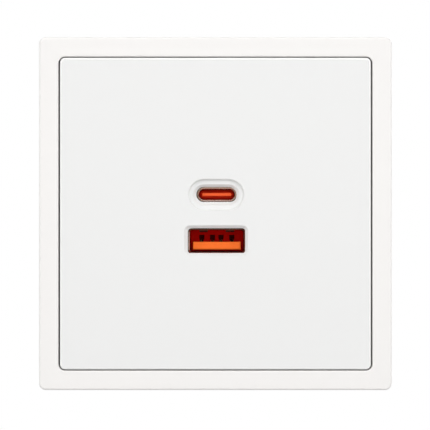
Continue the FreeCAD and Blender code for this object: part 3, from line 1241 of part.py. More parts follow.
def transformer_winding():
    front, back, window_front, window_back = transformer_span()
    ends = (window_front + FIT_GAP + BOBBIN_WALL, window_back - FIT_GAP - BOBBIN_WALL)
    inner_x = CORE_LEG + FIT_GAP + BOBBIN_WALL
    inner_z = CORE_T / 2 + FIT_GAP + BOBBIN_WALL
    outer_x = CORE_WIDTH / 2 - CORE_LEG - LOOSE_GAP
    outer_z = BOBBIN_HALF - LOOSE_GAP
    outer = rounded_prism(outer_x, outer_z, outer_x * WINDING_CORNER, *ends, TRANSFORMER_X, TRANSFORMER_Z)
    return outer.cut(block(around(TRANSFORMER_X, inner_x), ends, around(TRANSFORMER_Z, inner_z)))


def x_capacitor():
    width, height, thick = X_CAPACITOR
    body = block(around(X_CAPACITOR_X, width / 2), (POWER_BOARD_FRONT - height, POWER_BOARD_FRONT),
                 around(BOTTOM_ROW, thick / 2))
    body = body.makeChamfer(PART_MARGIN, edges_at(body, POWER_BOARD_FRONT - height))
    return fuse([body] + leads(lead_places()["x"], POWER_BOARD_FRONT))


def disc(x, z, r, thick, points):
    """A dipped disc standing on its two leads."""
    middle = POWER_BOARD_FRONT - DISC_STAND - r
    body = Part.makeCylinder(r, thick, vec(x, middle, z - thick / 2))
    body = body.makeFillet(thick * DISC_ROUND, body.Edges[0:1] + body.Edges[2:3])
    return fuse([body] + leads(points, middle))


def varistor():
    return disc(VARISTOR_X, BOTTOM_ROW, VARISTOR_R, VARISTOR_T, lead_places()["varistor"])


def y_capacitor():
    return disc(TRANSFORMER_X, Y_CAPACITOR_Z, Y_CAPACITOR_R, Y_CAPACITOR_T, lead_places()["y"])


def fuse_link():
    """A tubular fuse lying along Z, with its two leads bent to the board."""
    y = POWER_BOARD_FRONT - FUSE_STAND - FUSE_R
    low = FUSE_Z - FUSE_LENGTH / 2
    points = lead_places()["fuse"]
    body = Part.makeCylinder(FUSE_R, FUSE_LENGTH, vec(RIGHT_COLUMN, y, low))
    wire_length = points[1][1] - points[0][1]
    wire = Part.makeCylinder(LEAD_R, wire_length, vec(RIGHT_COLUMN, y, points[0][1]))
    bends = [Part.makeSphere(LEAD_R, vec(x, y, z)) for x, z in points]
    return fuse([body, wire] + bends + leads(points, y))


def opto_legs():
    """Places of the optocoupler's four legs."""
    places = []
    for sx, sz in CORNERS:
        x = TRANSFORMER_X + sx * PIN_PITCH / 2
        places.append((x, OPTO_Z + sz * (OPTO[2] / 2 - CHIP_LEG[1] / 2)))
    return places


def optocoupler():
    width, height, thick = OPTO
    body = block(around(TRANSFORMER_X, width / 2), (POWER_BOARD_FRONT - height, POWER_BOARD_FRONT),
                 around(OPTO_Z, thick / 2 - CHIP_LEG[1]))
    legs = []
    for x, z in opto_legs():
        depth = (POWER_BOARD_FRONT - height / 2, LEAD_END)
        legs.append(block(around(x, CHIP_LEG[0] / 2), depth, around(z, CHIP_LEG[1] / 2)))
    return fuse([body] + legs)


def rear_chip(x, z, size, legs_per_side, board_rear):
    """A flat chip on a board's rear face, its legs along its left and right edges."""
    width, thick, height = size
    leg_width, leg_t, leg_length = CHIP_LEG
    pieces = [block(around(x, width / 2), (board_rear, board_rear + thick), around(z, height / 2))]
    for i in range(legs_per_side):
        middle = z + (i - (legs_per_side - 1) / 2) * height / legs_per_side
        for side in (-1, 1):
            span = sorted((x + side * width / 2, x + side * (width / 2 + leg_length)))
            pieces.append(block(span, (board_rear, board_rear + leg_t), around(middle, leg_width / 2)))
    return fuse(pieces)


def bridge_rectifier():
    return rear_chip(LEFT_COLUMN / 2, BRIDGE_Z, BRIDGE, 2, POWER_BOARD_REAR)


def switching_chip():
    return rear_chip(LEFT_COLUMN / 2, TRANSFORMER_Z, SWITCH_CHIP, 4, POWER_BOARD_REAR)


def output_rectifier():
    return rear_chip(RIGHT_COLUMN / 2, TRANSFORMER_Z, RECTIFIER, 1, POWER_BOARD_REAR)


def charge_controller():
    return rear_chip(LEFT_COLUMN / 2, (USB_C_Z + USB_A_Z) / 2, CONTROLLER, 5, PORT_BOARD_REAR)


def port_inductor():
    return rear_chip(INDUCTOR_X, USB_C_Z + INDUCTOR[2] / 2, INDUCTOR, 1, PORT_BOARD_REAR)


# Terminals
def terminal_body(side, grow, y0, y1):
    """A terminal's outline as a prism, kept inside the housing's cut corner."""
    half = TERMINAL_HALF + grow
    shape = block(around(side * TERMINAL_OFFSET, half), (y0, y1), (TERMINAL_LOW - grow, TERMINAL_TOP + grow))
    return shape.common(octagon(BOARD_INSET - grow, y0, y1))


def terminal_block(side):
    """A terminal open to the front, with two funnelled wire entries and a slot for its button."""
    shape = terminal_body(side, 0.0, TERMINAL_FRONT, CUP_INSIDE)
    nose = terminal_body(side, -TERMINAL_SHOULDER, CUP_INSIDE, TERMINAL_REAR)
    hollow = terminal_body(side, -TERMINAL_WALL, TERMINAL_FRONT, TERMINAL_REAR - TERMINAL_REAR_WALL)
    middle = side * TERMINAL_OFFSET
    holes = [hollow]
    inside = TERMINAL_REAR - TERMINAL_REAR_WALL
    for sx in (-1, 1):
        x = middle + sx * WIRE_OFFSET
        holes.append(rod(x, WIRE_Z, WIRE_R, inside, TERMINAL_REAR))
        funnel = Part.makeCone(WIRE_R, WIRE_R + WIRE_FUNNEL, WIRE_FUNNEL,
                               vec(x, TERMINAL_REAR - WIRE_FUNNEL, WIRE_Z), vec(0, 1, 0))
        holes.append(funnel)
    half = BUTTON_WIDTH / 2 + FIT_GAP
    z = around(WIRE_Z, BUTTON_HEIGHT / 2 + FIT_GAP)
    holes.append(block(around(middle, half), (inside, TERMINAL_REAR), z))
    return fuse([shape, nose]).cut(holes).removeSplitter()


def spring_line():
    """The clamp spring's line of (y, z) points: back along the roof, round, and down to the bar."""
    roof = TERMINAL_TOP - TERMINAL_WALL - SPRING_T / 2
    floor = TERMINAL_LOW + TERMINAL_WALL + BAR_T + SPRING_T / 2 + FIT_GAP
    bend = TERMINAL_FRONT + SPRING_START
    back = TERMINAL_REAR - TERMINAL_REAR_WALL - FIT_GAP
    points = [(back, roof)]
    for angle in SPRING_BEND_ANGLES:
        a = math.radians(angle)
        points.append((bend + SPRING_BEND_R * (1 + math.cos(a)), roof - SPRING_BEND_R * (1 - math.sin(a))))
    return points + [(bend + LEAF_REACH, floor)]


def clamp_spring(side):
    """One spring strip with a leaf for each wire, joined along the roof."""
    points = spring_line()
    middle = side * TERMINAL_OFFSET
    leaves = []
    for sx in (-1, 1):
        leaves.append(strip(points, SPRING_T, *around(middle + sx * WIRE_OFFSET, SPRING_WIDTH / 2)))
    bridge = strip(points[:2], SPRING_T, *around(middle, WIRE_OFFSET))
    return fuse(leaves + [bridge])


def contact_tail(side, grow):
    """The contact bar's tail over the terminal, through the power board."""
    z = around(CONTACT_TAIL_Z, BAR_T / 2 + grow)
    x = around(side * TERMINAL_OFFSET, BAR_WIDTH / 2 + grow)
    return block(x, (TERMINAL_FRONT - BAR_T - PART_MARGIN, LEAD_END), z)


def contact_bar(side):
    """A brass bar under both wires, with a tail that rises to the power board."""
    middle = side * TERMINAL_OFFSET
    low = TERMINAL_LOW + TERMINAL_WALL
    front = TERMINAL_FRONT - BAR_T - PART_MARGIN
    floor_x = around(middle, WIRE_OFFSET + WIRE_R * WIRE_COVER)
    bar = block(floor_x, (TERMINAL_FRONT, TERMINAL_REAR - TERMINAL_REAR_WALL - FIT_GAP), (low, low + BAR_T))
    foot = block(around(middle, BAR_WIDTH / 2), (front, TERMINAL_FRONT), (low, low + BAR_T))
    tail = contact_tail(side, 0.0)
    riser = block(around(middle, BAR_WIDTH / 2), (front, front + BAR_T), (low, tail.BoundBox.ZMax))
    return fuse([bar, foot, riser, tail])


def release_button(side):
    """A button between the two wires, with a foot that pushes both leaves off them."""
    middle = side * TERMINAL_OFFSET
    spring_top = TERMINAL_TOP - TERMINAL_WALL - SPRING_T
    foot_top = spring_top - FIT_GAP
    foot_low = WIRE_Z + WIRE_R
    start = TERMINAL_FRONT + SPRING_START + BUTTON_TRAVEL + BUTTON_STOP_GAP
    stem = block(around(middle, BUTTON_WIDTH / 2), (start, TERMINAL_REAR + BUTTON_PROUD),
                 around(WIRE_Z, BUTTON_HEIGHT / 2))
    riser_z = (WIRE_Z, foot_top)
    riser = block(around(middle, BUTTON_WIDTH / 2), (start, start + 3 * BUTTON_FOOT), riser_z)
    foot_x = around(middle, WIRE_OFFSET + SPRING_WIDTH / 4)
    foot = block(foot_x, (start, start + BUTTON_FOOT), (foot_low, foot_top))
    stem = stem.makeChamfer(BUTTON_EDGE, edges_at(stem, TERMINAL_REAR + BUTTON_PROUD))
    return fuse([stem, riser, foot])


PARTS = {
    "cover_frame": cover_frame,
    "centre_plate": centre_plate,
    "support_ring": support_ring,
    "front_housing": front_housing,
    "rear_housing": rear_housing,
    "assembly_screws": assembly_screws,
    "claw_rivets": claw_rivets,
    "usb_a_shell": usb_a_shell,
    "usb_a_insulator": usb_a_insulator,
    "usb_a_contacts": usb_a_contacts,
    "usb_c_shell": usb_c_shell,
    "usb_c_insulator": usb_c_insulator,
    "usb_c_mid_plate": usb_c_mid_plate,
    "usb_c_contacts": usb_c_contacts,
    "port_board": port_board,
    "power_board": power_board,
    "link_header": link_header,
    "link_pins": link_pins,
    "input_capacitors": input_capacitors,
    "output_capacitors": output_capacitors,
    "choke_core": choke_core,
    "choke_winding": choke_winding,
    "transformer_core": transformer_core,
    "transformer_bobbin": transformer_bobbin,
    "transformer_winding": transformer_winding,
    "x_capacitor": x_capacitor,
    "y_capacitor": y_capacitor,
    "varistor": varistor,
    "fuse": fuse_link,
    "optocoupler": optocoupler,
    "bridge_rectifier": bridge_rectifier,
    "switching_chip": switching_chip,
    "output_rectifier": output_rectifier,
    "charge_controller": charge_controller,
    "port_inductor": port_inductor,
}

SIDED_PARTS = {
    "claw": (claw, "left", "right"),
    "claw_screw": (claw_screw, "left", "right"),
    "terminal_block": (terminal_block, "line", "neutral"),
    "contact_bar": (contact_bar, "line", "neutral"),
    "clamp_spring": (clamp_spring, "line", "neutral"),
    "release_button": (release_button, "line", "neutral"),
}

os.makedirs("parts", exist_ok=True)
for name, make in PARTS.items():
    make().exportStep(f"parts/{name}.step")
for name, (make, minus_side, plus_side) in SIDED_PARTS.items():
    make(-1).exportStep(f"parts/{name}_{minus_side}.step")
    make(1).exportStep(f"parts/{name}_{plus_side}.step")
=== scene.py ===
import json
import math

import bmesh
import bpy
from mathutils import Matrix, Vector


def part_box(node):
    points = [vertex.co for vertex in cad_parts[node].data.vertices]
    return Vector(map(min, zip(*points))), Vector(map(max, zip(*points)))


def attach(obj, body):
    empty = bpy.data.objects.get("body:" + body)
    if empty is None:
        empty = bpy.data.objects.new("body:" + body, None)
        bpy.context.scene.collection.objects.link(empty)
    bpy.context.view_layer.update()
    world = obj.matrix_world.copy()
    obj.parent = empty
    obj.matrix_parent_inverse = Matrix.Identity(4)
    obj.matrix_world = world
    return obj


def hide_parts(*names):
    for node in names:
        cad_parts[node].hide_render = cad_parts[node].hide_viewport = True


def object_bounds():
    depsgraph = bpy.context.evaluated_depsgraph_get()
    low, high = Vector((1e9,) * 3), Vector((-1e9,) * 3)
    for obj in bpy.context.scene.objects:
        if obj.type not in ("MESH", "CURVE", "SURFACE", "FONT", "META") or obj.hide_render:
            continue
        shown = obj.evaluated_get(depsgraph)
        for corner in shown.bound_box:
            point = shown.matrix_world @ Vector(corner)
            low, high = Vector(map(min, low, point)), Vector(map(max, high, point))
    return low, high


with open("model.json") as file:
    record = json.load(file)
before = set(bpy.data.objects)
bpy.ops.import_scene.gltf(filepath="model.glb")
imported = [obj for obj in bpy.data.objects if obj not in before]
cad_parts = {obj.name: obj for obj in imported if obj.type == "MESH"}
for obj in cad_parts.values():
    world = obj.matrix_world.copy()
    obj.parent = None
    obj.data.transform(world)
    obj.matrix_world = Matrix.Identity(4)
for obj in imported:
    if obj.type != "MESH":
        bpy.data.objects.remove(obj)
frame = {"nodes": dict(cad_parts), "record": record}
CAD_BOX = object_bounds()

MM = 0.001

# The photograph's framing, in its pixels
PHOTO_SIDE = 430
FRAME_LEFT = 38.8
FRAME_RIGHT = 392.0
FRAME_TOP = 37.0
FRAME_BOTTOM = 390.2
SENSOR = 36.0
CAMERA_DISTANCE = 0.50

FLOOR_DROP = 0.075     # from the socket's lowest edge to the floor
FLOOR_RADIUS = 0.9
FLOOR_FADE = (0.10, 0.32)  # radii between which the floor fades into the background

WORLD_LIGHT = 0.39
FLOOR_BOUNCE = 0.65    # the floor's albedo for the light that it sends to the object
# name: (place, width, height, watts)
SOFT_LIGHTS = {
    "key": ((0.25, -1.7, 1.55), 1.6, 1.0, 17.5),
    "front": ((0.1, -2.2, 0.1), 1.4, 1.4, 7.0),
    "left": ((-1.9, -1.1, 0.5), 0.4, 1.2, 11.6),
    "right": ((1.9, -1.1, 0.5), 0.4, 1.2, 10.6),
    "back": ((0.2, 1.9, 0.3), 1.4, 1.0, 11.0),
}


# Node helpers

class Graph:
    """A material's node tree, with short calls for the nodes that the materials use."""

    def __init__(self, name):
        self.material = bpy.data.materials.new(name)
        self.material.use_nodes = True
        self.tree = self.material.node_tree
        self.shader = self.tree.nodes["Principled BSDF"]
        self.out = self.tree.nodes["Material Output"]
        coordinates = self.node("ShaderNodeTexCoord")
        self.place = coordinates.outputs["Object"]
        self.facing = coordinates.outputs["Normal"]

    def node(self, kind, **settings):
        made = self.tree.nodes.new(kind)
        for key, value in settings.items():
            setattr(made, key, value)
        return made

    def link(self, source, target):
        self.tree.links.new(source, target)

    def noise(self, scale, detail=3.0, rough=0.5, stretch=None):
        """A noise value of the given scale in cycles per metre, stretched along the axes if asked."""
        place = self.place
        if stretch:
            mapping = self.node("ShaderNodeMapping")
            mapping.inputs["Scale"].default_value = stretch
            self.link(place, mapping.inputs["Vector"])
            place = mapping.outputs["Vector"]
        made = self.node("ShaderNodeTexNoise")
        made.inputs["Scale"].default_value = scale
        made.inputs["Detail"].default_value = detail
        made.inputs["Roughness"].default_value = rough
        self.link(place, made.inputs["Vector"])
        return made.outputs["Fac"]

    def cells(self, scale):
        """The distance from the middle of the nearest cell."""
        made = self.node("ShaderNodeTexVoronoi")
        made.inputs["Scale"].default_value = scale
        self.link(self.place, made.inputs["Vector"])
        return made.outputs["Distance"]

    def spread(self, value, low, high, start=0.3, end=0.7):
        """The value mapped from start..end to low..high."""
        made = self.node("ShaderNodeMapRange")
        made.inputs["From Min"].default_value = start
        made.inputs["From Max"].default_value = end
        made.inputs["To Min"].default_value = low
        made.inputs["To Max"].default_value = high
        self.link(value, made.inputs["Value"])
        return made.outputs["Result"]

    def mix(self, factor, first, second):
        """A colour between two colours, each a tuple or a socket."""
        made = self.node("ShaderNodeMix", data_type="RGBA")
        self.link(factor, made.inputs["Factor"])
        for name, colour in (("A", first), ("B", second)):
            if isinstance(colour, bpy.types.NodeSocket):
                self.link(colour, made.inputs[name])
            else:
                made.inputs[name].default_value = (*colour, 1.0)
        return made.outputs["Result"]

    def along(self, vector, axis):
        """One component of a vector socket."""
        split = self.node("ShaderNodeSeparateXYZ")
        self.link(vector, split.inputs["Vector"])
        return split.outputs[axis]

    def maths(self, operation, first, second=None):
        """A sum on one or two values, each a number or a socket."""
        made = self.node("ShaderNodeMath", operation=operation)
        for socket, value in zip(made.inputs, (first, second)):
            if value is None:
                continue
            if isinstance(value, (int, float)):
                socket.default_value = value
            else:
                self.link(value, socket)
        return made.outputs["Value"]

    def rim(self, half_x, half_z, corner, width):
        """1 within a width of the outline of a rounded rectangle seen along Y, and 0 inside it."""
        value = self.place
        steps = (("ABSOLUTE", None), ("SUBTRACT", (half_x - corner, half_x, half_z - corner)),
                 ("MAXIMUM", (0.0, 0.0, 0.0)), ("LENGTH", None))
        for operation, other in steps:
            step = self.node("ShaderNodeVectorMath", operation=operation)
            self.link(value, step.inputs[0])
            if other:
                step.inputs[1].default_value = other
            value = step.outputs["Value" if operation == "LENGTH" else "Vector"]
        inner = corner - width
        return self.spread(value, 0.0, 1.0, inner, inner + width * PAINTED_HIGHLIGHT_FADE)

    def bump(self, height, distance):
        made = self.node("ShaderNodeBump")
        made.inputs["Strength"].default_value = 1.0
        made.inputs["Distance"].default_value = distance
        self.link(height, made.inputs["Height"])
        self.link(made.outputs["Normal"], self.shader.inputs["Normal"])

    def set(self, **values):
        """Sets or links the shader's sockets, named with underscores for spaces."""
        for key, value in values.items():
            socket = self.shader.inputs[key.replace("_", " ")]
            if isinstance(value, bpy.types.NodeSocket):
                self.link(value, socket)
            else:
                socket.default_value = value


def shades(colour, amount):
    """A darker and a lighter colour round the given one."""
    darker = tuple(c * (1 - amount) for c in colour)
    lighter = tuple(min(1.0, c * (1 + amount)) for c in colour)
    return darker, lighter


# Materials

PLATE_CORNER = 1.2 * MM
PAINTED_HIGHLIGHT_WIDTH = 0.45 * MM      # of the plate's rounded edge, painted lighter as a painted highlight
PAINTED_HIGHLIGHT_FADE = 0.25            # share of the painted highlight's width over which it fades
# base colour of the painted highlight along the plate's rounded edge
PAINTED_HIGHLIGHT_COLOUR = (0.97, 0.97, 0.96)
PAINTED_SHADE_START = 0.3 * MM      # behind a tongue's tip, where painted shade starts to darken its orange to red
# where that painted shade is full
PAINTED_SHADE_END = 1.8 * MM
CHANNELS_START = 8.6 * MM  # from the USB-A tongue's tip to the contact channels in the back wall
# painted shade in the USB-A insulator's contact channels
CHANNEL_SHADE = (0.30, 0.012, 0.006)
CONNECTOR_GLOSS = 0.04     # low, because the ports' plastic shows no reflections
SLANT_FADE = (0.03, 0.10)  # how far a shell's face turns to the front before it takes the darker colour, sheared-edge tone and painted shade
AXIS_FADE = (0.6, 0.3)     # how far it turns from the lit axis before the painted shade is full
TRACK_EDGE = (0.42, 0.48)  # from a board's tracks to the gaps between them


def moulded(name, colour, rough, grain, grain_depth, drift, rim=None):
    """Moulded plastic: a slow drift of colour, a fine mould texture and a soft gloss, with a painted
    highlight along a given rim.
    """
    g = Graph(name)
    slow = g.noise(18.0, 2.0)
    body = g.mix(slow, *shades(colour, drift))
    if rim:
        # painted highlight: the rim's outline takes a lighter base colour
        body = g.mix(g.rim(*rim), body, PAINTED_HIGHLIGHT_COLOUR)
    g.set(Base_Color=body)
    fine = g.noise(grain, 4.0, 0.6)
    g.set(Roughness=g.spread(fine, rough * 0.9, rough * 1.1))
    g.bump(fine, grain_depth * MM)
    return g.material


def depth_shaded_plastic(name, near, painted_shade_colour, tip, channels=None):
    """Connector plastic: orange at the tongue's tip, with painted shade that makes it darker red further
    in and nearly black in the channels.
    """
    g = Graph(name)
    fine = g.noise(4200.0, 4.0, 0.6)
    depth = g.along(g.place, "Y")
    # painted shade: the colour darkens from orange to red with distance behind the tip
    colour = g.mix(g.spread(depth, 0.0, 1.0, tip + PAINTED_SHADE_START, tip + PAINTED_SHADE_END), near, painted_shade_colour)
    if channels:
        # painted shade in the contact channels
        colour = g.mix(g.spread(depth, 0.0, 1.0, channels, channels + PAINTED_SHADE_START), colour, CHANNEL_SHADE)
    g.set(Base_Color=colour, Roughness=g.spread(fine, 0.55, 0.7), Specular_IOR_Level=CONNECTOR_GLOSS)
    g.bump(fine, 0.004 * MM)
    return g.material


def plated_sheet(name, colour, rough=0.36):
    """Zinc-plated sheet: faint crystal patches, rolling lines and small scratches."""
    g = Graph(name)
    patches = g.noise(420.0, 3.0, 0.6)
    lines = g.noise(900.0, 4.0, 0.6, stretch=(1.0, 1.0, 0.06))
    g.set(Base_Color=g.mix(patches, *shades(colour, 0.10)), Metallic=1.0)
    g.set(Roughness=g.spread(lines, rough * 0.75, rough * 1.3))
    g.bump(lines, 0.004 * MM)
    return g.material


def drawing_lines(g, rough):
    """Gives a metal fine lines along its length, and returns them."""
    lines = g.noise(2600.0, 4.0, 0.6, stretch=(1.0, 0.08, 1.0))
    g.set(Roughness=g.spread(lines, rough * 0.8, rough * 1.25), Metallic=1.0)
    g.bump(lines, 0.002 * MM)
    return lines


def drawn_metal(name, colour, rough):
    """Plated or drawn metal with fine lines along its length."""
    g = Graph(name)
    g.set(Base_Color=g.mix(drawing_lines(g, rough), *shades(colour, 0.06)))
    return g.material


def shell_metal(name, colour, slant_shade_colour, rough, lit_axis):
    """A port shell's plated sheet. Its slanting faces, sheared edges among them, take a darker colour,
    partly the edges' own tone and mostly painted shade, except those that face along the lit axis.
    """
    g = Graph(name)
    plated = g.mix(drawing_lines(g, rough), *shades(colour, 0.05))
    slant = g.maths("ABSOLUTE", g.along(g.facing, "Y"))
    slant_shade_mask = g.spread(slant, 0.0, 1.0, *SLANT_FADE)
    unlit_side = g.spread(g.along(g.facing, lit_axis), 0.0, 1.0, *AXIS_FADE)
    # painted shade on slanting faces, left off those that face along the lit axis
    g.set(Base_Color=g.mix(g.maths("MULTIPLY", slant_shade_mask, unlit_side), plated, slant_shade_colour))
    return g.material


def circuit_board(name):
    """Green solder mask over copper tracks."""
    g = Graph(name)
    weave = g.noise(5200.0, 2.0)
    tracks = g.cells(240.0)
    edge = g.spread(tracks, 0.0, 1.0, *TRACK_EDGE)
    g.set(Base_Color=g.mix(edge, (0.02, 0.20, 0.08), (0.015, 0.12, 0.05)))
    g.set(Roughness=g.spread(weave, 0.3, 0.42))
    g.bump(edge, 0.03 * MM)
    return g.material


def ferrite(name):
    """Dark sintered ferrite with a fine grain."""
    g = Graph(name)
    fine = g.noise(3000.0, 5.0, 0.7)
    g.set(Base_Color=g.mix(fine, (0.03, 0.03, 0.032), (0.075, 0.075, 0.08)))
    g.set(Roughness=g.spread(fine, 0.55, 0.7))
    g.bump(fine, 0.02 * MM)
    return g.material


def wound_wire(name, colour, pitch):
    """Turns of enamelled wire round the Y axis, with painted shade between the turns and a painted
    highlight on their crests.
    """
    g = Graph(name)
    phase = g.maths("MULTIPLY", g.along(g.place, "Y"), 2 * math.pi / pitch)
    wave = g.maths("SINE", phase)
    # painted shade and highlight: the colour follows the turns' wave
    g.set(Base_Color=g.mix(g.spread(wave, 0.0, 1.0, -1.0, 1.0), *shades(colour, 0.35)))
    g.set(Metallic=0.6, Roughness=0.3)
    g.bump(wave, pitch * 0.3)
    return g.material


# name: (colour, roughness, grain in cycles per metre, grain's depth in millimetres, drift of colour)
MOULDED = {
    "frame_plastic": ((0.920, 0.902, 0.884), 0.30, 3500.0, 0.004, 0.004),
    "plate_plastic": ((0.865, 0.866, 0.858), 0.34, 3500.0, 0.004, 0.004),
    "housing_plastic": ((0.60, 0.60, 0.58), 0.55, 1500.0, 0.02, 0.03),
    "terminal_plastic": ((0.80, 0.80, 0.77), 0.4, 2200.0, 0.008, 0.012),
    "button_plastic": ((0.85, 0.27, 0.03), 0.35, 2200.0, 0.006, 0.012),
    "black_plastic": ((0.02, 0.02, 0.022), 0.45, 2200.0, 0.01, 0.012),
    "chip_plastic": ((0.018, 0.018, 0.02), 0.6, 5200.0, 0.01, 0.012),
    "can_sleeve": ((0.03, 0.04, 0.07), 0.25, 900.0, 0.004, 0.012),
    "winding_tape": ((0.75, 0.50, 0.02), 0.3, 700.0, 0.02, 0.012),
    "capacitor_box": ((0.65, 0.46, 0.02), 0.35, 1500.0, 0.01, 0.012),
    "disc_coating": ((0.02, 0.08, 0.35), 0.25, 500.0, 0.04, 0.012),
    "fuse_body": ((0.25, 0.06, 0.03), 0.3, 900.0, 0.01, 0.012),
}
# name: (colour, roughness)
DRAWN = {
    "port_steel": ((0.70, 0.62, 0.58), 0.32),
    "spring_steel": ((0.50, 0.51, 0.53), 0.3),
    "contact_metal": ((0.72, 0.50, 0.22), 0.25),
    "brass": ((0.75, 0.55, 0.24), 0.3),
    "bare_can": ((0.68, 0.69, 0.70), 0.3),
}


def make_materials():
    """One material for each of the record's slots, and the finishes of the pieces that have their own."""
    low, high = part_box("centre_plate")
    # the centre plate's rounded edge gets a painted highlight
    painted_highlight_rims = {"plate_plastic": ((high.x - low.x) / 2, (high.z - low.z) / 2, PLATE_CORNER, PAINTED_HIGHLIGHT_WIDTH)}
    made = {name: moulded(name, *look, rim=painted_highlight_rims.get(name)) for name, look in MOULDED.items()}
    made.update({name: drawn_metal(name, *look) for name, look in DRAWN.items()})
    usb_a_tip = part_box("usb_a_insulator")[0].y
    usb_c_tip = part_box("usb_c_insulator")[0].y
    # the ports' plastic, with painted shade further in
    made["port_plastic"] = depth_shaded_plastic("port_plastic", (1.0, 0.19, 0.031), (0.95, 0.005, 0.001),
                                           usb_a_tip, usb_a_tip + CHANNELS_START)
    made["usb_c_plastic"] = depth_shaded_plastic("usb_c_plastic", (0.92, 0.13, 0.036), (1.0, 0.04, 0.012),
                                            usb_c_tip)
    made["zinc_steel"] = plated_sheet("zinc_steel", (0.60, 0.61, 0.62))
    made["screw_steel"] = plated_sheet("screw_steel", (0.66, 0.66, 0.67), 0.3)
    # darker colours: sheared-edge tone and painted shade on the slanting faces
    made["usb_a_steel"] = shell_metal("usb_a_steel", (0.72, 0.60, 0.52), (0.08, 0.028, 0.018), 0.3, "X")
    made["usb_c_steel"] = shell_metal("usb_c_steel", (0.86, 0.77, 0.71), (0.32, 0.20, 0.15), 0.25, "Z")
    made["board"] = circuit_board("board")
    made["ferrite"] = ferrite("ferrite")
    made["copper_wire"] = wound_wire("copper_wire", (0.62, 0.22, 0.08), 0.35 * MM)
    return made


# Nodes with a finish of their own within their slot
OWN_FINISH = {
    "usb_a_shell": "usb_a_steel",
    "usb_c_shell": "usb_c_steel",
    "usb_c_insulator": "usb_c_plastic",
}


def dress_nodes(materials):
    """Gives every CAD node its own finish or its slot's."""
    slots = {part["node"]: part["material_slot"] for part in frame["record"]["subparts"]}
    for name, obj in frame["nodes"].items():
        material = materials[OWN_FINISH.get(name, slots[name])]
        obj.data.materials.clear()
        obj.data.materials.append(material)


# Edge rounds of the moulded and stamped pieces, by node, in millimetres
EDGE_ROUNDS = {
    "support_ring": 0.12,
    "claw_left": 0.12,
    "claw_right": 0.12,
    "front_housing": 0.15,
    "rear_housing": 0.25,
    "terminal_block_line": 0.12,
    "terminal_block_neutral": 0.12,
    "release_button_line": 0.15,
    "release_button_neutral": 0.15,
}
SHARP_ANGLE = math.radians(35)


def round_edges():
    """Bevels the edges of the pieces that have rounded ones. Their own meshes stay as they are."""
    for name, size in EDGE_ROUNDS.items():
        obj = frame["nodes"][name]
        bevel = obj.modifiers.new("edge_round", "BEVEL")
        bevel.width = size * MM
        bevel.segments = 2
        bevel.limit_method = "ANGLE"
        bevel.angle_limit = SHARP_ANGLE


# Threaded screws

THREAD_PITCH = 0.5 * MM
THREAD_DEPTH = 0.27 * MM
THREAD_ROWS = 10       # rows of points for each turn of the thread
THREAD_COLUMNS = 36
THREAD_ROOT = 0.12     # share of the pitch that is the flat root
THREAD_FLANKS = 0.70   # share that is its two flanks
THREAD_RUN_OUT = 0.6   # turns over which the thread starts at the head
POINT_LENGTH = 0.6 * MM
SEAM = 0.02 * MM       # how far a threaded shank and its head each pass the seat
SAME_POINT = 1e-6      # nearer points are one, in metres


def thread_profile(turns):
    """1 on the thread's crest and 0 at its root, for a place counted in turns."""
    across = abs((turns % 1.0) - 0.5) * 2
    return min(1.0, max(0.0, (across - THREAD_ROOT) / THREAD_FLANKS))


def threaded_shank(mesh, middle, start, end, radius):
    """Adds a threaded rod along Y to a bmesh, closed at both ends."""
    rows = int((end - start) / THREAD_PITCH * THREAD_ROWS)
    rings = []
    for row in range(rows + 1):
        y = start + (end - start) * row / rows
        fade = min(1.0, (y - start) / (THREAD_RUN_OUT * THREAD_PITCH), (end - y) / POINT_LENGTH)
        ring = []
        for column in range(THREAD_COLUMNS):
            share = column / THREAD_COLUMNS
            crest = thread_profile(y / THREAD_PITCH - share) * fade
            r = radius - THREAD_DEPTH * (1 - crest)
            r -= THREAD_DEPTH * (1 - min(1.0, (end - y) / POINT_LENGTH))
            a = 2 * math.pi * share
            ring.append(mesh.verts.new((middle.x + r * math.cos(a), y, middle.z + r * math.sin(a))))
        rings.append(ring)
    for near, far in zip(rings, rings[1:]):
        for i in range(THREAD_COLUMNS):
            j = (i + 1) % THREAD_COLUMNS
            mesh.faces.new((near[i], near[j], far[j], far[i]))
    mesh.faces.new(list(reversed(rings[0])))
    mesh.faces.new(rings[-1])


def threaded_screw(node, material):
    """The claw screw with its real thread: the head of the CAD screw on a threaded shank."""
    source = frame["nodes"][node]
    low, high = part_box(node)
    middle = (low + high) / 2
    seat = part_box("support_ring")[0].y
    shank = [v.co for v in source.data.vertices if v.co.y > (seat + high.y) / 2]
    radius = max(math.hypot(co.x - middle.x, co.z - middle.z) for co in shank)
    mesh = bmesh.new()
    mesh.from_mesh(source.data)
    bmesh.ops.remove_doubles(mesh, verts=mesh.verts, dist=SAME_POINT)
    everything = mesh.verts[:] + mesh.edges[:] + mesh.faces[:]
    cut = bmesh.ops.bisect_plane(mesh, geom=everything, plane_co=(0.0, seat + SEAM, 0.0),
                                 plane_no=(0.0, 1.0, 0.0), clear_outer=True)
    rim = [item for item in cut["geom_cut"] if isinstance(item, bmesh.types.BMEdge)]
    bmesh.ops.holes_fill(mesh, edges=rim)
    threaded_shank(mesh, middle, seat - SEAM, high.y, radius)
    bmesh.ops.recalc_face_normals(mesh, faces=mesh.faces)
    data = bpy.data.meshes.new(node + "_threaded")
    mesh.to_mesh(data)
    mesh.free()
    piece = bpy.data.objects.new(node + "_threaded", data)
    bpy.context.scene.collection.objects.link(piece)
    data.materials.append(material)
    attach(piece, node)
    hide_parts(node)


# Floor, light and camera

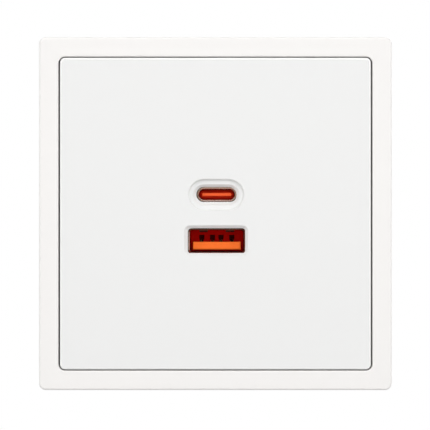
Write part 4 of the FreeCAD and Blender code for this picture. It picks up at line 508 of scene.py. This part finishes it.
def seen_directly(tree):
    """1 for rays from the camera, mirrors or glass, and 0 for the light that falls on things."""
    path = tree.nodes.new("ShaderNodeLightPath")
    value = path.outputs["Is Camera Ray"]
    for name in ("Is Glossy Ray", "Is Transmission Ray"):
        either = tree.nodes.new("ShaderNodeMath")
        either.operation = "MAXIMUM"
        tree.links.new(value, either.inputs[0])
        tree.links.new(path.outputs[name], either.inputs[1])
        value = either.outputs["Value"]
    return value


def mixed_shader(tree, factor, first, second):
    made = tree.nodes.new("ShaderNodeMixShader")
    tree.links.new(factor, made.inputs["Fac"])
    tree.links.new(first, made.inputs[1])
    tree.links.new(second, made.inputs[2])
    return made.outputs["Shader"]


def white_world():
    """A white background that lights the object softly."""
    world = bpy.data.worlds.new("studio")
    bpy.context.scene.world = world
    world.use_nodes = True
    tree = world.node_tree
    tree.nodes.clear()
    out = tree.nodes.new("ShaderNodeOutputWorld")
    seen = tree.nodes.new("ShaderNodeBackground")
    light = tree.nodes.new("ShaderNodeBackground")
    for background, strength in ((seen, 1.0), (light, WORLD_LIGHT)):
        background.inputs["Color"].default_value = (1.0, 1.0, 1.0, 1.0)
        background.inputs["Strength"].default_value = strength
    both = mixed_shader(tree, seen_directly(tree), light.outputs["Background"], seen.outputs["Background"])
    tree.links.new(both, out.inputs["Surface"])


def pale_floor():
    """A round floor that fades into the white background away from the object."""
    lowest = CAD_BOX[0].z - FLOOR_DROP
    bpy.ops.mesh.primitive_circle_add(vertices=96, radius=FLOOR_RADIUS, fill_type="NGON",
                                      location=(0.0, 0.0, lowest))
    floor = bpy.context.object
    floor.name = "floor"
    g = Graph("floor_paint")
    fine = g.noise(90.0, 4.0)
    g.set(Base_Color=g.mix(fine, (0.86, 0.86, 0.86), (0.89, 0.89, 0.89)), Roughness=0.7,
          Specular_IOR_Level=0.2)
    glow = g.node("ShaderNodeEmission")
    length = g.node("ShaderNodeVectorMath", operation="LENGTH")
    g.link(g.place, length.inputs[0])
    fade = g.spread(length.outputs["Value"], 0.0, 1.0, *FLOOR_FADE)
    pale = mixed_shader(g.tree, fade, g.shader.outputs["BSDF"], glow.outputs["Emission"])
    dim = g.node("ShaderNodeBsdfDiffuse")
    dim.inputs["Color"].default_value = (FLOOR_BOUNCE, FLOOR_BOUNCE, FLOOR_BOUNCE, 1.0)
    both = mixed_shader(g.tree, seen_directly(g.tree), dim.outputs["BSDF"], pale)
    g.link(both, g.out.inputs["Surface"])
    floor.data.materials.append(g.material)


def soft_lights():
    """Rectangular lamps that face the object's middle."""
    for name, (place, width, height, watts) in SOFT_LIGHTS.items():
        data = bpy.data.lights.new(name, "AREA")
        data.shape = "RECTANGLE"
        data.size = width
        data.size_y = height
        data.energy = watts
        lamp = bpy.data.objects.new(name, data)
        bpy.context.scene.collection.objects.link(lamp)
        lamp.location = place
        lamp.rotation_euler = (-Vector(place)).to_track_quat("-Z", "Y").to_euler()


def add_camera():
    """A camera square on to the socket's face, framed as the photograph is."""
    low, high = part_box("cover_frame")
    pixel = (high.x - low.x) / (FRAME_RIGHT - FRAME_LEFT)
    data = bpy.data.cameras.new("camera")
    data.sensor_width = SENSOR
    data.lens = SENSOR * CAMERA_DISTANCE / (PHOTO_SIDE * pixel)
    camera = bpy.data.objects.new("camera", data)
    bpy.context.scene.collection.objects.link(camera)
    across = ((FRAME_LEFT + FRAME_RIGHT) - PHOTO_SIDE) / 2 * pixel
    down = ((FRAME_TOP + FRAME_BOTTOM) - PHOTO_SIDE) / 2 * pixel
    camera.location = (-across, low.y - CAMERA_DISTANCE, down)
    camera.rotation_euler = (math.radians(90), 0.0, 0.0)
    bpy.context.scene.camera = camera


materials = make_materials()
dress_nodes(materials)
round_edges()
for side in ("left", "right"):
    threaded_screw("claw_screw_" + side, materials["screw_steel"])
white_world()
pale_floor()
soft_lights()
add_camera()
bpy.context.scene.view_settings.view_transform = "Standard"
